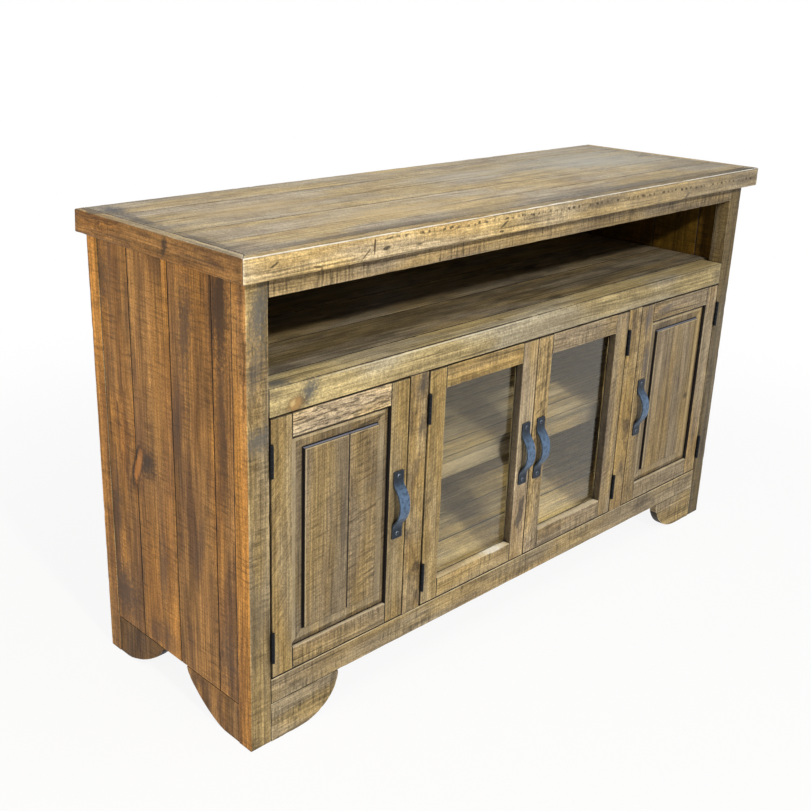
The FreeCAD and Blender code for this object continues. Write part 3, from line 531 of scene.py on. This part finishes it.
right_stile_scars = [
    ((0.400, -0.219, 0.5900), (0, 80, 0), (0.050, 0.008, 0.0180), slate_smudge, 0.65, 0.95),
    ((0.405, -0.219, 0.4900), (0, 84, 0), (0.060, 0.008, 0.0140), slate_smudge, 0.60, 0.95),
]
glass_rail_scars = [
    ((-0.095, -0.210, 0.1745), (0, 0, 0), (0.050, 0.020, 0.004), (0.74, 0.70, 0.63), 0.85, 0.9),
    ((-0.215, -0.206, 0.1745), (0, 0, 0), (0.060, 0.016, 0.004), (0.30, 0.22, 0.13), 0.70, 0.9),
    ((0.100, -0.210, 0.1745), (0, 0, 0), (0.050, 0.016, 0.004), (0.34, 0.26, 0.16), 0.60, 0.9),
]
piece_woods = {
    "top_planks": stained_pine("scarred_top_wood", top_stain, **top_run, marks=top_scars),
    "top_edging_front": stained_pine("front_edging_wood", edging_stain, wear=0.3, glaze=0.8,
                                     marks=front_edging_scars, nicked=True),
    "side_planks_left": stained_pine("left_side_wood", amber_with_painted_warm_light, **plank_run, marks=left_side_scars_and_shade),
    "side_feet": stained_pine("side_foot_wood", side_foot_with_painted_warm_light, **side_run),
    "face_rail_top": cool_door_wood,
    "face_rail_shelf": stained_pine("shelf_rail_wood", shelf_rail_stain, **frame_run, marks=shelf_rail_scars),
    "front_post_left": stained_pine("left_post_wood", frame_stain, **frame_run, marks=left_post_scars),
    "mid_stiles": stained_pine("mid_stile_wood", mid_stile_stain, **frame_run, short=2.2,
                               marks=mid_stile_scars),
    "left_door_panel": stained_pine("left_panel_wood", panel_stain, **panel_run, marks=left_panel_scars),
    "right_door_panel": stained_pine("right_panel_wood", panel_stain, **panel_run, marks=right_panel_scars),
    "left_door_hinge_stile": stained_pine("left_stile_wood", door_stain, **frame_run, slant=-1.1),
    "left_door_rails": cool_door_wood,
    "right_door_rails": stained_pine("right_rail_wood", cool_door_stain, **door_run, marks=right_rail_scars),
    "right_door_handle_stile": stained_pine("right_stile_wood", cool_door_stain, **door_run,
                                            marks=right_stile_scars),
    "right_door_hinge_stile": cool_door_wood,
    "left_glass_door_handle_stile": cool_door_wood,
    "left_glass_door_rails": stained_pine("glass_rail_wood", door_stain, **door_run, marks=glass_rail_scars),
    "right_glass_door_handle_stile": cool_door_wood,
    "right_glass_door_hinge_stile": cool_door_wood,
    "right_glass_door_rails": cool_door_wood,
    "media_shelf_planks": stained_pine("media_shelf_wood", media_stain, **inner_run),
    "inner_shelf": stained_pine("inner_shelf_wood", inner_stain, **inner_run, marks=shelf_seams_and_painted_shade),
    "floor_planks": stained_pine("floor_wood", inner_stain, **inner_run, marks=floor_seams),
}
left_edging_side_wood = stained_pine("left_edging_side_wood", amber_with_painted_warm_light, **side_run, marks=left_edging_scars)


# Hardware and glass

def make_iron(name, dark, sheen_colour, rubbed):
    """Blackened iron with hammer dents. Across the middle of its height the bow of a handle gets a painted blue
    sheen, a reflection of the sky.
    """
    material, b, surface, _ = new_material(name)
    where = b.spot()
    dents = b.noise(b.times(where, 150.0, 150.0, 150.0), 2.0, 0.5)
    scale = b.noise(b.times(where, 900.0, 900.0, 900.0), 2.0, 0.6)
    # Painted sky reflection: the lighter colour across the middle of the height.
    rise = b.add("SeparateXYZ", {0: b.add("TexCoord").outputs["Generated"]}).outputs[2]
    painted_sheen = b.ramp(b.math("ABSOLUTE", b.math("SUBTRACT", rise, 0.5)), 0.40, 0.12)
    painted_sheen = b.math("MULTIPLY", painted_sheen, b.ramp(dents, 0.30, 0.60, 0.4, 1.0))
    rub = b.ramp(b.closeness(0.0016, inside=True, only_local=True), 0.2, 0.6)
    rub = b.math("MULTIPLY", rub, b.ramp(scale, 0.3, 0.6))
    colour = b.mix(painted_sheen, (*dark, 1.0), (*sheen_colour, 1.0))
    colour = b.mix(b.math("MULTIPLY", rub, 0.55), colour, (*rubbed, 1.0))
    hammered = b.math("MULTIPLY_ADD", scale, 0.25, dents)
    bump = b.add("Bump", {"Strength": 0.6, "Distance": 0.0005, "Height": hammered})
    b.fill(surface, {"Base Color": colour, "Roughness": b.ramp(scale, 0.3, 0.7, 0.36, 0.52),
                     "Normal": bump.outputs[0], "Metallic": 0.8})
    return material


def make_strike_steel():
    """Zinc-plated sheet with a faint spangle."""
    material, b, surface, _ = new_material("strike_steel")
    spangle = b.noise(b.times(b.spot(), 420.0, 900.0, 420.0), 2.0, 0.5)
    colour = b.mix(spangle, (0.42, 0.42, 0.43, 1.0), (0.66, 0.66, 0.67, 1.0))
    b.fill(surface, {"Base Color": colour, "Roughness": b.ramp(spangle, 0.3, 0.7, 0.28, 0.48), "Metallic": 1.0})
    return material


def make_catch_plastic():
    """Brown moulded plastic with a fine texture."""
    material, b, surface, _ = new_material("catch_plastic")
    mould = b.noise(b.times(b.spot(), 1100.0, 1100.0, 1100.0), 2.0, 0.5)
    colour = b.mix(mould, (0.075, 0.045, 0.025, 1.0), (0.115, 0.07, 0.04, 1.0))
    bump = b.add("Bump", {"Strength": 0.3, "Distance": 0.0002, "Height": mould})
    b.fill(surface, {"Base Color": colour, "Roughness": b.ramp(mould, 0.3, 0.7, 0.45, 0.6),
                     "Normal": bump.outputs[0]})
    return material


def make_door_glass():
    """Clear float glass with faint dust. Light passes it unbent, so the shelves behind stay lit."""
    material, b, surface, out = new_material("door_glass")
    dust = b.noise(b.times(b.spot(), 26.0, 26.0, 17.0), 4.0, 0.6)
    b.put(surface.inputs["Base Color"], b.mix(dust, (0.95, 0.93, 0.87, 1.0), (0.99, 0.975, 0.93, 1.0)))
    surface.inputs["Roughness"].default_value = 0.0
    surface.inputs["Transmission Weight"].default_value = 1.0
    surface.inputs["IOR"].default_value = 1.45
    surface.inputs["Specular IOR Level"].default_value = 0.165
    surface.inputs["Specular Tint"].default_value = (1.0, 0.87, 0.62, 1.0)
    clear = b.add("BsdfTransparent", {0: (0.88, 0.92, 0.90, 1.0)})
    shadow = b.add("LightPath").outputs["Is Shadow Ray"]
    chosen = b.add("MixShader", {0: shadow, 1: surface.outputs[0], 2: clear.outputs[0]})
    b.put(out.inputs[0], chosen.outputs[0])
    return material


hardware = {
    "black_iron": make_iron("hinge_iron", (0.010, 0.012, 0.016), (0.018, 0.022, 0.030), (0.06, 0.065, 0.075)),
    "handle_iron": make_iron("handle_iron", (0.024, 0.031, 0.043), (0.116, 0.186, 0.296), (0.26, 0.31, 0.38)),
    "strike_steel": make_strike_steel(),
    "catch_plastic": make_catch_plastic(),
    "door_glass": make_door_glass(),
}


def in_scene(name, data):
    """A new object in the scene."""
    made = bpy.data.objects.new(name, data)
    bpy.context.scene.collection.objects.link(made)
    return made


# Boards: the solids of a node with worn arrises and a grain run for each

weld_gap = 1e-6
flat_angle = math.radians(0.5)
arris_angle = 0.4
cut_step = 0.012
edge_band = 0.005
upright_grain = ("side_feet",)

# Where a face or a bevel looks: the share of its normal along an axis
facing = 0.7
half_turned = 0.5
leaning = 0.4
across_end = 0.3
along_edge = 0.2
bevel_below = 0.93

# Places on the part
door_middle_z = 0.3765
front_face_y = -0.215
shelf_lip_back = -0.14
floor_first_seam = -0.05
first_panel_board = 0.102
panel_tongue = 0.007
pool_width = 0.004
rim_pool_width = 0.0012
head_pool_width = 0.0062
field_arris = 0.0022
field_step = 0.001

# How the tone of a board changes along it, and from board to board
board_spread = 0.12
top_rim_width = 0.06
top_rim_shade = 0.55
# Painted shadow of the shelf on the back of the floor, and painted light on the boards behind the right-hand
# glass.
back_floor_shade = 0.40
painted_light_on_right_boards = 1.20
paler_from_x = 0.15
paler_over = 0.15
# Painted falloff of the light from the left: front boards darker towards the right, faces behind the front by a
# smaller share.
upper_face_share = 0.4
painted_falloff_to_the_right = {"top_edging_front": 1.05, "face_rail_top": 0.65, "face_rail_shelf": 0.75}
edging_top_tone = -0.78
shelf_rail_top_tone = -0.28
left_edging_side_tone = -0.76
painted_warm_light_tone = 0.42

# Shares of black glaze, which in reveals and on the panel's shoulders and corners is also painted shade. Below
# 0 the wood is rubbed bare or has a painted highlight
front_arris_glaze = {"top_edging_front": -0.75, "face_rail_bottom": -0.7, "face_rail_shelf": 0.7}
panel_seam_glaze = {"left_door_panel": 0.9, "right_door_panel": 0.3}
plank_seam_glaze = 0.95
top_seam_glaze = 0.70
joint_glaze = 0.9
low_rail_glaze = -0.6
reveal_glaze_and_shade = 1.0
glass_reveal_painted_shade = 0.75
shoulder_glaze_and_shade = 1.0
field_arris_highlight = -0.55
panel_head_glaze_and_shadow = 0.8
# Painted light and shade on the border's slopes: the most shade, and how strongly the facing counts.
border_painted_shade = 0.20
border_painted_light_turn = 3.0

# Outer side faces that take the amber colour, a painted warm side light.
painted_warm_light_sides = ("front_post_left", "front_post_right", "back_post_left", "back_post_right",
               "top_edging_left", "top_edging_right")

# Finishes: tone, stain, saw marks and flakes
slot_finish = {
    "top_wood": (0.50, 0.40, 0.30, 0.0),
    "edging_wood": (1.06, 0.35, 0.40, 0.30),
    "frame_wood": (0.50, 0.55, 0.60, 0.0),
    "side_wood": (0.58, 0.60, 0.70, 0.0),
    "door_wood": (0.50, 0.40, 0.65, 0.0),
    "panel_wood": (0.50, 0.40, 0.80, 0.0),
    "inner_wood": (0.45, 0.40, 0.10, 0.0),
}
piece_finish = {
    "front_post_left": (0.33, 0.60, 0.75, 0.0),
    "front_post_right": (-0.48, 0.55, 0.60, 0.0),
    "face_rail_top": (0.58, 0.35, 1.00, 0.0),
    "face_rail_shelf": (1.16, 0.40, 0.30, 0.1),
    "face_rail_bottom": (0.46, 0.75, 0.75, 0.0),
    "mid_stiles": (0.20, 1.00, 0.45, 0.35),
    "front_feet": (0.48, 0.55, 0.90, 0.0),
    "side_feet": (0.16, 0.60, 0.70, 0.0),
    "left_door_rails": (1.20, 0.35, 0.30, 0.90),
    "left_door_hinge_stile": (0.48, 0.25, 0.60, 0.0),
    "left_door_handle_stile": (0.28, 0.35, 0.45, 0.0),
    "left_door_panel": (0.15, 0.35, 0.70, 0.0),
    "left_glass_door_hinge_stile": (0.32, 0.30, 0.60, 0.1),
    "left_glass_door_handle_stile": (0.72, 0.15, 0.35, 0.0),
    "left_glass_door_rails": (0.46, 0.40, 0.85, 0.2),
    "right_glass_door_handle_stile": (0.48, 0.30, 1.00, 0.6),
    "right_glass_door_hinge_stile": (0.38, 0.50, 0.55, 0.3),
    "right_glass_door_rails": (0.42, 0.45, 0.80, 0.3),
    "right_door_rails": (0.36, 0.60, 0.60, 0.2),
    "right_door_hinge_stile": (0.40, 0.45, 0.55, 0.0),
    "right_door_handle_stile": (0.36, 0.65, 0.65, 0.2),
    "right_door_panel": (0.26, 0.40, 0.30, 0.0),
    "media_shelf_planks": (0.40, 0.70, 0.05, 0.0),
    "inner_shelf": (0.85, 0.20, 0.10, 0.0),
    "floor_planks": (1.35, 0.20, 0.10, 0.0),
    "back_planks": (1.20, 0.25, 0.30, 0.0),
    "back_plank_cable": (1.20, 0.25, 0.30, 0.0),
}
low_rail_finish = {
    "left_door_rails": (0.22, 0.60, 0.90, 0.0),
    "right_door_rails": (0.40, 0.55, 0.80, 0.0),
}
back_foot_finish = (-0.42, 0.70, 0.70, 0.0)
shelf_lip_finish = (0.06, 0.30, 0.10, 0.2)
sawn_board_finish = (0.24, 0.35, 1.00, 0.0)

# How deep the arrises are rubbed in
slot_chip = {
    "top_wood": 0.0012,
    "edging_wood": 0.0022,
    "frame_wood": 0.0014,
    "side_wood": 0.0015,
    "door_wood": 0.0013,
    "panel_wood": 0.0008,
    "inner_wood": 0.0010,
}


def once(items):
    """Each item once, in the order of the first, so that every run makes the same mesh."""
    return list(dict.fromkeys(items))


def solids_of(cad_mesh):
    """The solids of a CAD mesh, as lists of faces, which follow each other until a solid's skin closes."""
    spots = {v: tuple(round(c, 5) for c in v.co) for v in cad_mesh.verts}
    found, skin, rim = [], [], set()
    for face in cad_mesh.faces:
        skin.append(face)
        for edge in face.edges:
            rim ^= {frozenset(spots[v] for v in edge.verts)}
        if not rim:
            found.append(skin)
            skin = []
    return found


def boards_of(node):
    """A node's mesh, its solids welded and freed of inner edges. The face layer board numbers them."""
    boards = bmesh.new()
    boards.from_mesh(cad_nodes[node].data)
    board_layer = boards.faces.layers.int.new("board")
    for i, skin in enumerate(solids_of(boards)):
        for face in skin:
            face[board_layer] = i
        bmesh.ops.remove_doubles(boards, verts=once(v for f in skin for v in f.verts), dist=weld_gap)
    bmesh.ops.dissolve_limit(boards, angle_limit=flat_angle, verts=boards.verts, edges=boards.edges)
    boards.normal_update()
    return boards


def corners_of(faces):
    """The low and the high corner of the box about some faces."""
    points = [v.co for f in faces for v in f.verts]
    low = Vector([min(p[i] for p in points) for i in range(3)])
    high = Vector([max(p[i] for p in points) for i in range(3)])
    return low, high


def sliced(boards, faces, low, high, length_axis, more_cuts):
    """Cut one solid across its length, near each of its long edges and at the further cuts."""
    edges = [e for f in faces for e in f.edges]
    corners = [v for f in faces for v in f.verts]
    geometry = once([*faces, *edges, *corners])
    cuts = list(more_cuts)
    span = high[length_axis] - low[length_axis]
    count = max(2, round(span / cut_step))
    cuts += [(length_axis, low[length_axis] + span * i / count) for i in range(1, count)]
    for axis in range(3):
        if axis != length_axis and high[axis] - low[axis] > 3 * edge_band:
            cuts += [(axis, low[axis] + edge_band), (axis, high[axis] - edge_band)]
    for axis, place_at in cuts:
        normal = Vector((0.0, 0.0, 0.0))
        normal[axis] = 1.0
        made = bmesh.ops.bisect_plane(boards, geom=geometry, dist=weld_gap, plane_co=normal * place_at,
                                      plane_no=normal)
        geometry = once([*made["geom"], *made["geom_cut"]])
    return [g for g in geometry if isinstance(g, bmesh.types.BMFace)]


def chipped(points, chip, seed):
    """Rub the arrises in by an uneven depth, never out."""
    moves = []
    for vert in points:
        edges = [e for e in vert.link_edges if len(e.link_faces) == 2 and e.is_convex]
        if not any(e.calc_face_angle(0) > arris_angle for e in edges):
            continue
        waves = abs(noise.noise(vert.co * 28.0 + seed))
        chips = max(0.0, noise.noise(vert.co * 95.0 + seed) - 0.28)
        moves.append((vert, vert.normal * (chip * (0.25 + 0.5 * waves + 1.4 * chips))))
    for vert, move in moves:
        vert.co -= move


def field_of(panel):
    """Corners of a panel's raised field, seen from the front."""
    front = min(v.co.y for v in panel.verts)
    flats = [f for f in panel.faces if f.normal.y < -0.99 and f.calc_center_median().y < front + 1e-4]
    return corners_of(flats)


def panel_cuts(panel):
    """Extra cuts along the raised field and along the frame, where the glaze pools."""
    low, high = field_of(panel)
    rim_low, rim_high = corners_of(panel.faces)
    cuts = []
    for axis, head in ((0, rim_pool_width), (2, head_pool_width)):
        cuts += [(axis, low[axis] - pool_width), (axis, high[axis] + pool_width)]
        cuts += [(axis, low[axis] + field_arris), (axis, high[axis] - field_arris)]
        cuts += [(axis, rim_low[axis] + panel_tongue + rim_pool_width)]
        cuts += [(axis, rim_high[axis] - panel_tongue - head)]
    return cuts


def glaze_on_panel(face, field, rim):
    """Black glaze and painted shade on the shoulders of the raised field and in the corners of its border,
    painted light and shade on its slopes, a painted highlight on the field's lit arrises.
    """
    normal = face.normal
    where = face.calc_center_median()
    if normal.y > half_turned:
        return 0.0
    # Shoulders of the field: black glaze and painted shade.
    if normal.y > -half_turned:
        return shoulder_glaze_and_shade
    if where.y < field[0].y + field_step:
        # A painted highlight on the field's left and top arrises, which face the light.
        rubbed = min(where.x - field[0].x, field[1].z - where.z) < field_arris
        return field_arris_highlight if rubbed else 0.0
    outside = max(max(field[0][axis] - where[axis], where[axis] - field[1][axis]) for axis in (0, 2))
    inside = min(min(where[axis] - rim[0][axis], rim[1][axis] - where[axis]) for axis in (0, 2))
    # Corners of the border, at the field and at the frame: glaze and painted shade.
    if outside < pool_width or inside < panel_tongue + rim_pool_width:
        return shoulder_glaze_and_shade
    # Just under the top rail: glaze and a painted shadow of the rail.
    if rim[1].z - where.z < panel_tongue + head_pool_width:
        return panel_head_glaze_and_shadow
    # Slopes of the border: painted light and shade by how they face the light from the upper left, pale where
    # lit, dark where shaded.
    return min(border_painted_light_turn * (normal.x - normal.z), border_painted_shade)


def glaze_on(node, face, length_axis, solid_middle):
    """1 where the stain lies black, and in the stiles' reveals painted shade as well; below 0 where the wood is
    rubbed bare, 0 elsewhere.
    """
    normal = face.normal
    bevel = max(abs(c) for c in normal) < bevel_below
    outward = -1.0 if node.startswith("left") else 1.0
    up_front = bevel and normal.z > leaning and normal.y < -leaning
    if up_front and node in front_arris_glaze:
        return front_arris_glaze[node]
    if node in panel_seam_glaze and bevel and abs(normal.x) > leaning and normal.y < -leaning:
        return panel_seam_glaze[node]
    if bevel and abs(normal[length_axis]) < along_edge and "plank" in node:
        return top_seam_glaze if node == "top_planks" else plank_seam_glaze
    if node == "inner_shelf" and bevel and abs(normal.x) < along_edge:
        return joint_glaze
    if bevel and abs(normal[length_axis]) > across_end and not node.startswith("top_edging"):
        return joint_glaze
    if node.endswith("_rails"):
        return low_rail_glaze if normal.z > facing and solid_middle.z < door_middle_z else 0.0
    if node.endswith("_hinge_stile") and bevel and normal.x * outward > leaning:
        return joint_glaze
    if node.endswith("_stile"):
        low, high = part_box(body_of[node] + "_rails")
        inward = math.copysign(1.0, (low.x + high.x) / 2 - solid_middle.x)
        # Reveals of the stiles: black glaze and painted shade; on the glass doors a painted dark reflection as
        # well.
        if normal.x * inward > facing:
            return glass_reveal_painted_shade if "glass" in node else reveal_glaze_and_shade
    return 0.0


def painted_warm_light_face(node, face):
    """True for the outer sides of posts and edging, which take the side planks' amber colour: a painted warm
    side light.
    """
    return node in painted_warm_light_sides and face.normal.x * math.copysign(1.0, face.calc_center_median().x) > facing


def wall_face(node, face):
    """True for the inner faces of the side planks."""
    return node.startswith("side_planks") and face.normal.x * face.calc_center_median().x < 0


def face_tone(node, face):
    """How much paler a face is than the rest of its board."""
    if node.startswith("top_edging") and face.normal.z > facing:
        return edging_top_tone
    if node == "face_rail_shelf" and face.normal.z > facing:
        return shelf_rail_top_tone
    if painted_warm_light_face(node, face):
        return left_edging_side_tone if node == "top_edging_left" else painted_warm_light_tone
    return 0.0


def fading(node, where):
    """How much darker the wood is at a point than the rest of its board: painted light falloff along the front
    boards, a darker rim on the top, a painted shadow on the back of the floor and painted light on the boards
    behind the right-hand glass.
    """
    if node in painted_falloff_to_the_right:
        share = (where.x - cad_low.x) / (cad_high.x - cad_low.x)
        return painted_falloff_to_the_right[node] * share * (upper_face_share if where.y > front_face_y else 1.0)
    if node == "top_planks":
        low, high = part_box(node)
        edge = min(where.x - low.x, high.x - where.x, where.y - low.y)
        return top_rim_shade * max(0.0, 1.0 - edge / top_rim_width)
    # Behind the shelf lip the boards at the right are paler by painted light, and the floor behind its first
    # seam darker by a painted shadow of the shelf.
    if node in ("floor_planks", "inner_shelf") and where.y > shelf_lip_back:
        lit = painted_light_on_right_boards * min(1.0, max(0.0, (where.x - paler_from_x) / paler_over))
        return (back_floor_shade if node == "floor_planks" and where.y > floor_first_seam else 0.0) - lit
    return 0.0


def finish_of(node, slot, middle):
    """Tone, stain, saw marks and flakes of one board."""
    if node == "side_feet" and middle.y > 0:
        return back_foot_finish
    if node == "inner_shelf" and middle.y < shelf_lip_back:
        return shelf_lip_finish
    if node == "left_door_panel" and middle.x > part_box(node)[0].x + first_panel_board:
        return sawn_board_finish
    if middle.z < door_middle_z and node in low_rail_finish:
        return low_rail_finish[node]
    return piece_finish.get(node, slot_finish[slot])


def sawn_boards(node, slot, number):
    """The boards of one node, each with its grain run, tone, glaze and worn arrises."""
    boards = boards_of(node)
    grain_layer = boards.verts.layers.float_vector.new("grain")
    finish_layer = boards.verts.layers.float_color.new("finish")
    painted_layer = boards.faces.layers.float.new("painted")
    board_layer = boards.faces.layers.int["board"]
    skins = {}
    for face in boards.faces:
        skins.setdefault(face[board_layer], []).append(face)
    cuts = panel_cuts(boards) if node.endswith("_panel") else []
    if cuts:
        field, rim = field_of(boards), corners_of(boards.faces)
    for i, faces in skins.items():
        low, high = corners_of(faces)
        size = high - low
        middle = (low + high) / 2
        tone, stain, saw, flakes = finish_of(node, slot, middle)
        length_axis = 2 if node in upright_grain else max(range(3), key=lambda axis: size[axis])
        across = [axis for axis in range(3) if axis != length_axis]
        seed = Vector((7.3 * number + 2.9 * i, 3.1 * number - 5.7 * i, 1.7 * i + 0.9 * number))
        faces = sliced(boards, faces, low, high, length_axis, cuts)
        points = once(v for f in faces for v in f.verts)
        lift = board_spread * noise.noise(seed * 1.37)
        for vert in points:
            vert[grain_layer] = Vector([vert.co[length_axis], vert.co[across[0]], vert.co[across[1]]]) + seed
            vert[finish_layer] = (tone + lift - fading(node, vert.co), stain, saw, flakes)
        for face in faces:
            face.normal_update()
            face[painted_layer] = glaze_on(node, face, length_axis, middle)
            if cuts and face[painted_layer] == 0.0:
                face[painted_layer] = glaze_on_panel(face, field, rim)
            # The second slot: the amber colour with painted warm side light on outer sides, and the inner wall
            # faces.
            face.material_index = 1 if painted_warm_light_face(node, face) or wall_face(node, face) else 0
            paler = face_tone(node, face)
            if paler:
                for vert in face.verts:
                    vert[finish_layer][0] = tone + lift + paler - fading(node, vert.co)
        for vert in points:
            vert.normal_update()
        chipped(points, slot_chip[slot], seed)
    mesh = bpy.data.meshes.new(node + "_boards")
    boards.to_mesh(mesh)
    boards.free()
    piece = in_scene(node + "_boards", mesh)
    mesh.materials.append(piece_woods.get(node) or slot_woods[slot])
    if node == "top_edging_left":
        mesh.materials.append(left_edging_side_wood)
    elif node in painted_warm_light_sides:
        mesh.materials.append(slot_woods["side_wood"])
    elif slot == "side_wood":
        mesh.materials.append(wall_wood)
    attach(piece, body_of[node])
    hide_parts(node)


for number, node in enumerate(sorted(cad_nodes)):
    slot = slot_of[node]
    if slot in slot_finish:
        sawn_boards(node, slot, number)
    else:
        data = cad_nodes[node].data
        data.materials.clear()
        data.materials.append(hardware["handle_iron" if "_handle" in node else slot])


# Studio

def shows_backdrop(b):
    """1 for rays that see the white backdrop: from the camera, by a mirror or through glass."""
    path = b.add("LightPath").outputs
    bounced = b.math("MAXIMUM", path["Is Glossy Ray"], path["Is Transmission Ray"])
    return b.math("MAXIMUM", path["Is Camera Ray"], bounced)


def make_floor():
    """A pale floor that shows white to the camera but keeps a soft shadow."""
    half = 14.0
    mesh = bpy.data.meshes.new("studio_floor")
    corners = [(-half, -half, 0), (half, -half, 0), (half, half, 0), (-half, half, 0)]
    mesh.from_pydata(corners, [], [(0, 1, 2, 3)])
    floor = in_scene("studio_floor", mesh)
    material, b, surface, out = new_material("studio_floor")
    where = b.spot()
    mottle = b.noise(b.times(where, 3.0, 3.0, 3.0), 3.0, 0.5)
    colour = b.mix(mottle, (0.64, 0.64, 0.64, 1.0), (0.70, 0.70, 0.70, 1.0))
    b.fill(surface, {"Base Color": colour, "Roughness": 0.9})
    glow = b.add("Emission", {0: (1.0, 1.0, 1.0, 1.0), 1: 1.0})
    apart = b.length(b.times(where, 1.0, 1.0, 0.0))
    share = b.math("MULTIPLY", shows_backdrop(b), b.ramp(apart, 0.9, 2.4, 0.90, 1.0))
    chosen = b.add("MixShader", {0: share, 1: surface.outputs[0], 2: glow.outputs[0]})
    b.put(out.inputs[0], chosen.outputs[0])
    mesh.materials.append(material)


def make_world(low_fill, high_fill):
    """Even light, stronger from above. Camera, mirror and glass rays see plain white."""
    world = bpy.data.worlds.new("studio")
    bpy.context.scene.world = world
    world.use_nodes = True
    world.node_tree.nodes.clear()
    b = Bench(world.node_tree)
    seen = shows_backdrop(b)
    up = b.add("SeparateXYZ", {0: b.add("TexCoord").outputs["Generated"]}).outputs[2]
    fill = b.ramp(up, 0.05, 0.95, low_fill, high_fill)
    strength = b.math("MAXIMUM", seen, fill)
    sky = b.add("Background", {0: b.mix(seen, (0.93, 1.0, 0.99, 1.0), (1.0, 1.0, 1.0, 1.0)), 1: strength})
    out = world.node_tree.nodes.new("ShaderNodeOutputWorld")
    b.put(out.inputs[0], sky.outputs[0])


def softbox(name, where, aim, width, height, watts, colour=(1.0, 1.0, 1.0)):
    """A rectangular lamp that points from one place at another."""
    lamp = bpy.data.lights.new(name, "AREA")
    lamp.shape = "RECTANGLE"
    lamp.size = width
    lamp.size_y = height
    lamp.energy = watts
    lamp.color = colour
    box = in_scene(name, lamp)
    box.location = where
    box.rotation_euler = (Vector(aim) - Vector(where)).to_track_quat("-Z", "Y").to_euler()


make_floor()
make_world(low_fill=0.12, high_fill=0.44)
softbox("front_softbox", (-1.3, -3.6, 3.1), (0.0, 0.0, 0.45), 0.25, 0.25, 155.0, (1.0, 0.96, 0.89))
softbox("ceiling_softbox", (0.2, -1.2, 3.2), (0.0, 0.0, 0.7), 2.2, 1.2, 22.0)
softbox("left_softbox", (-3.4, -0.5, 1.7), (-0.75, 0.0, 0.45), 1.2, 1.2, 42.0, (1.0, 0.84, 0.64))


# Camera at the photograph's viewing angle

def make_camera():
    lens = bpy.data.cameras.new("camera")
    lens.sensor_width = 36.0
    lens.lens = 49.03
    lens.shift_x = 0.0499
    lens.shift_y = -0.0129
    camera = in_scene("camera", lens)
    camera.location = (-1.7252, -1.5090, 1.2731)
    camera.rotation_euler = [math.radians(a) for a in (69.774, -1.340, -43.403)]
    bpy.context.scene.camera = camera


make_camera()
bpy.context.scene.view_settings.view_transform = "Standard"
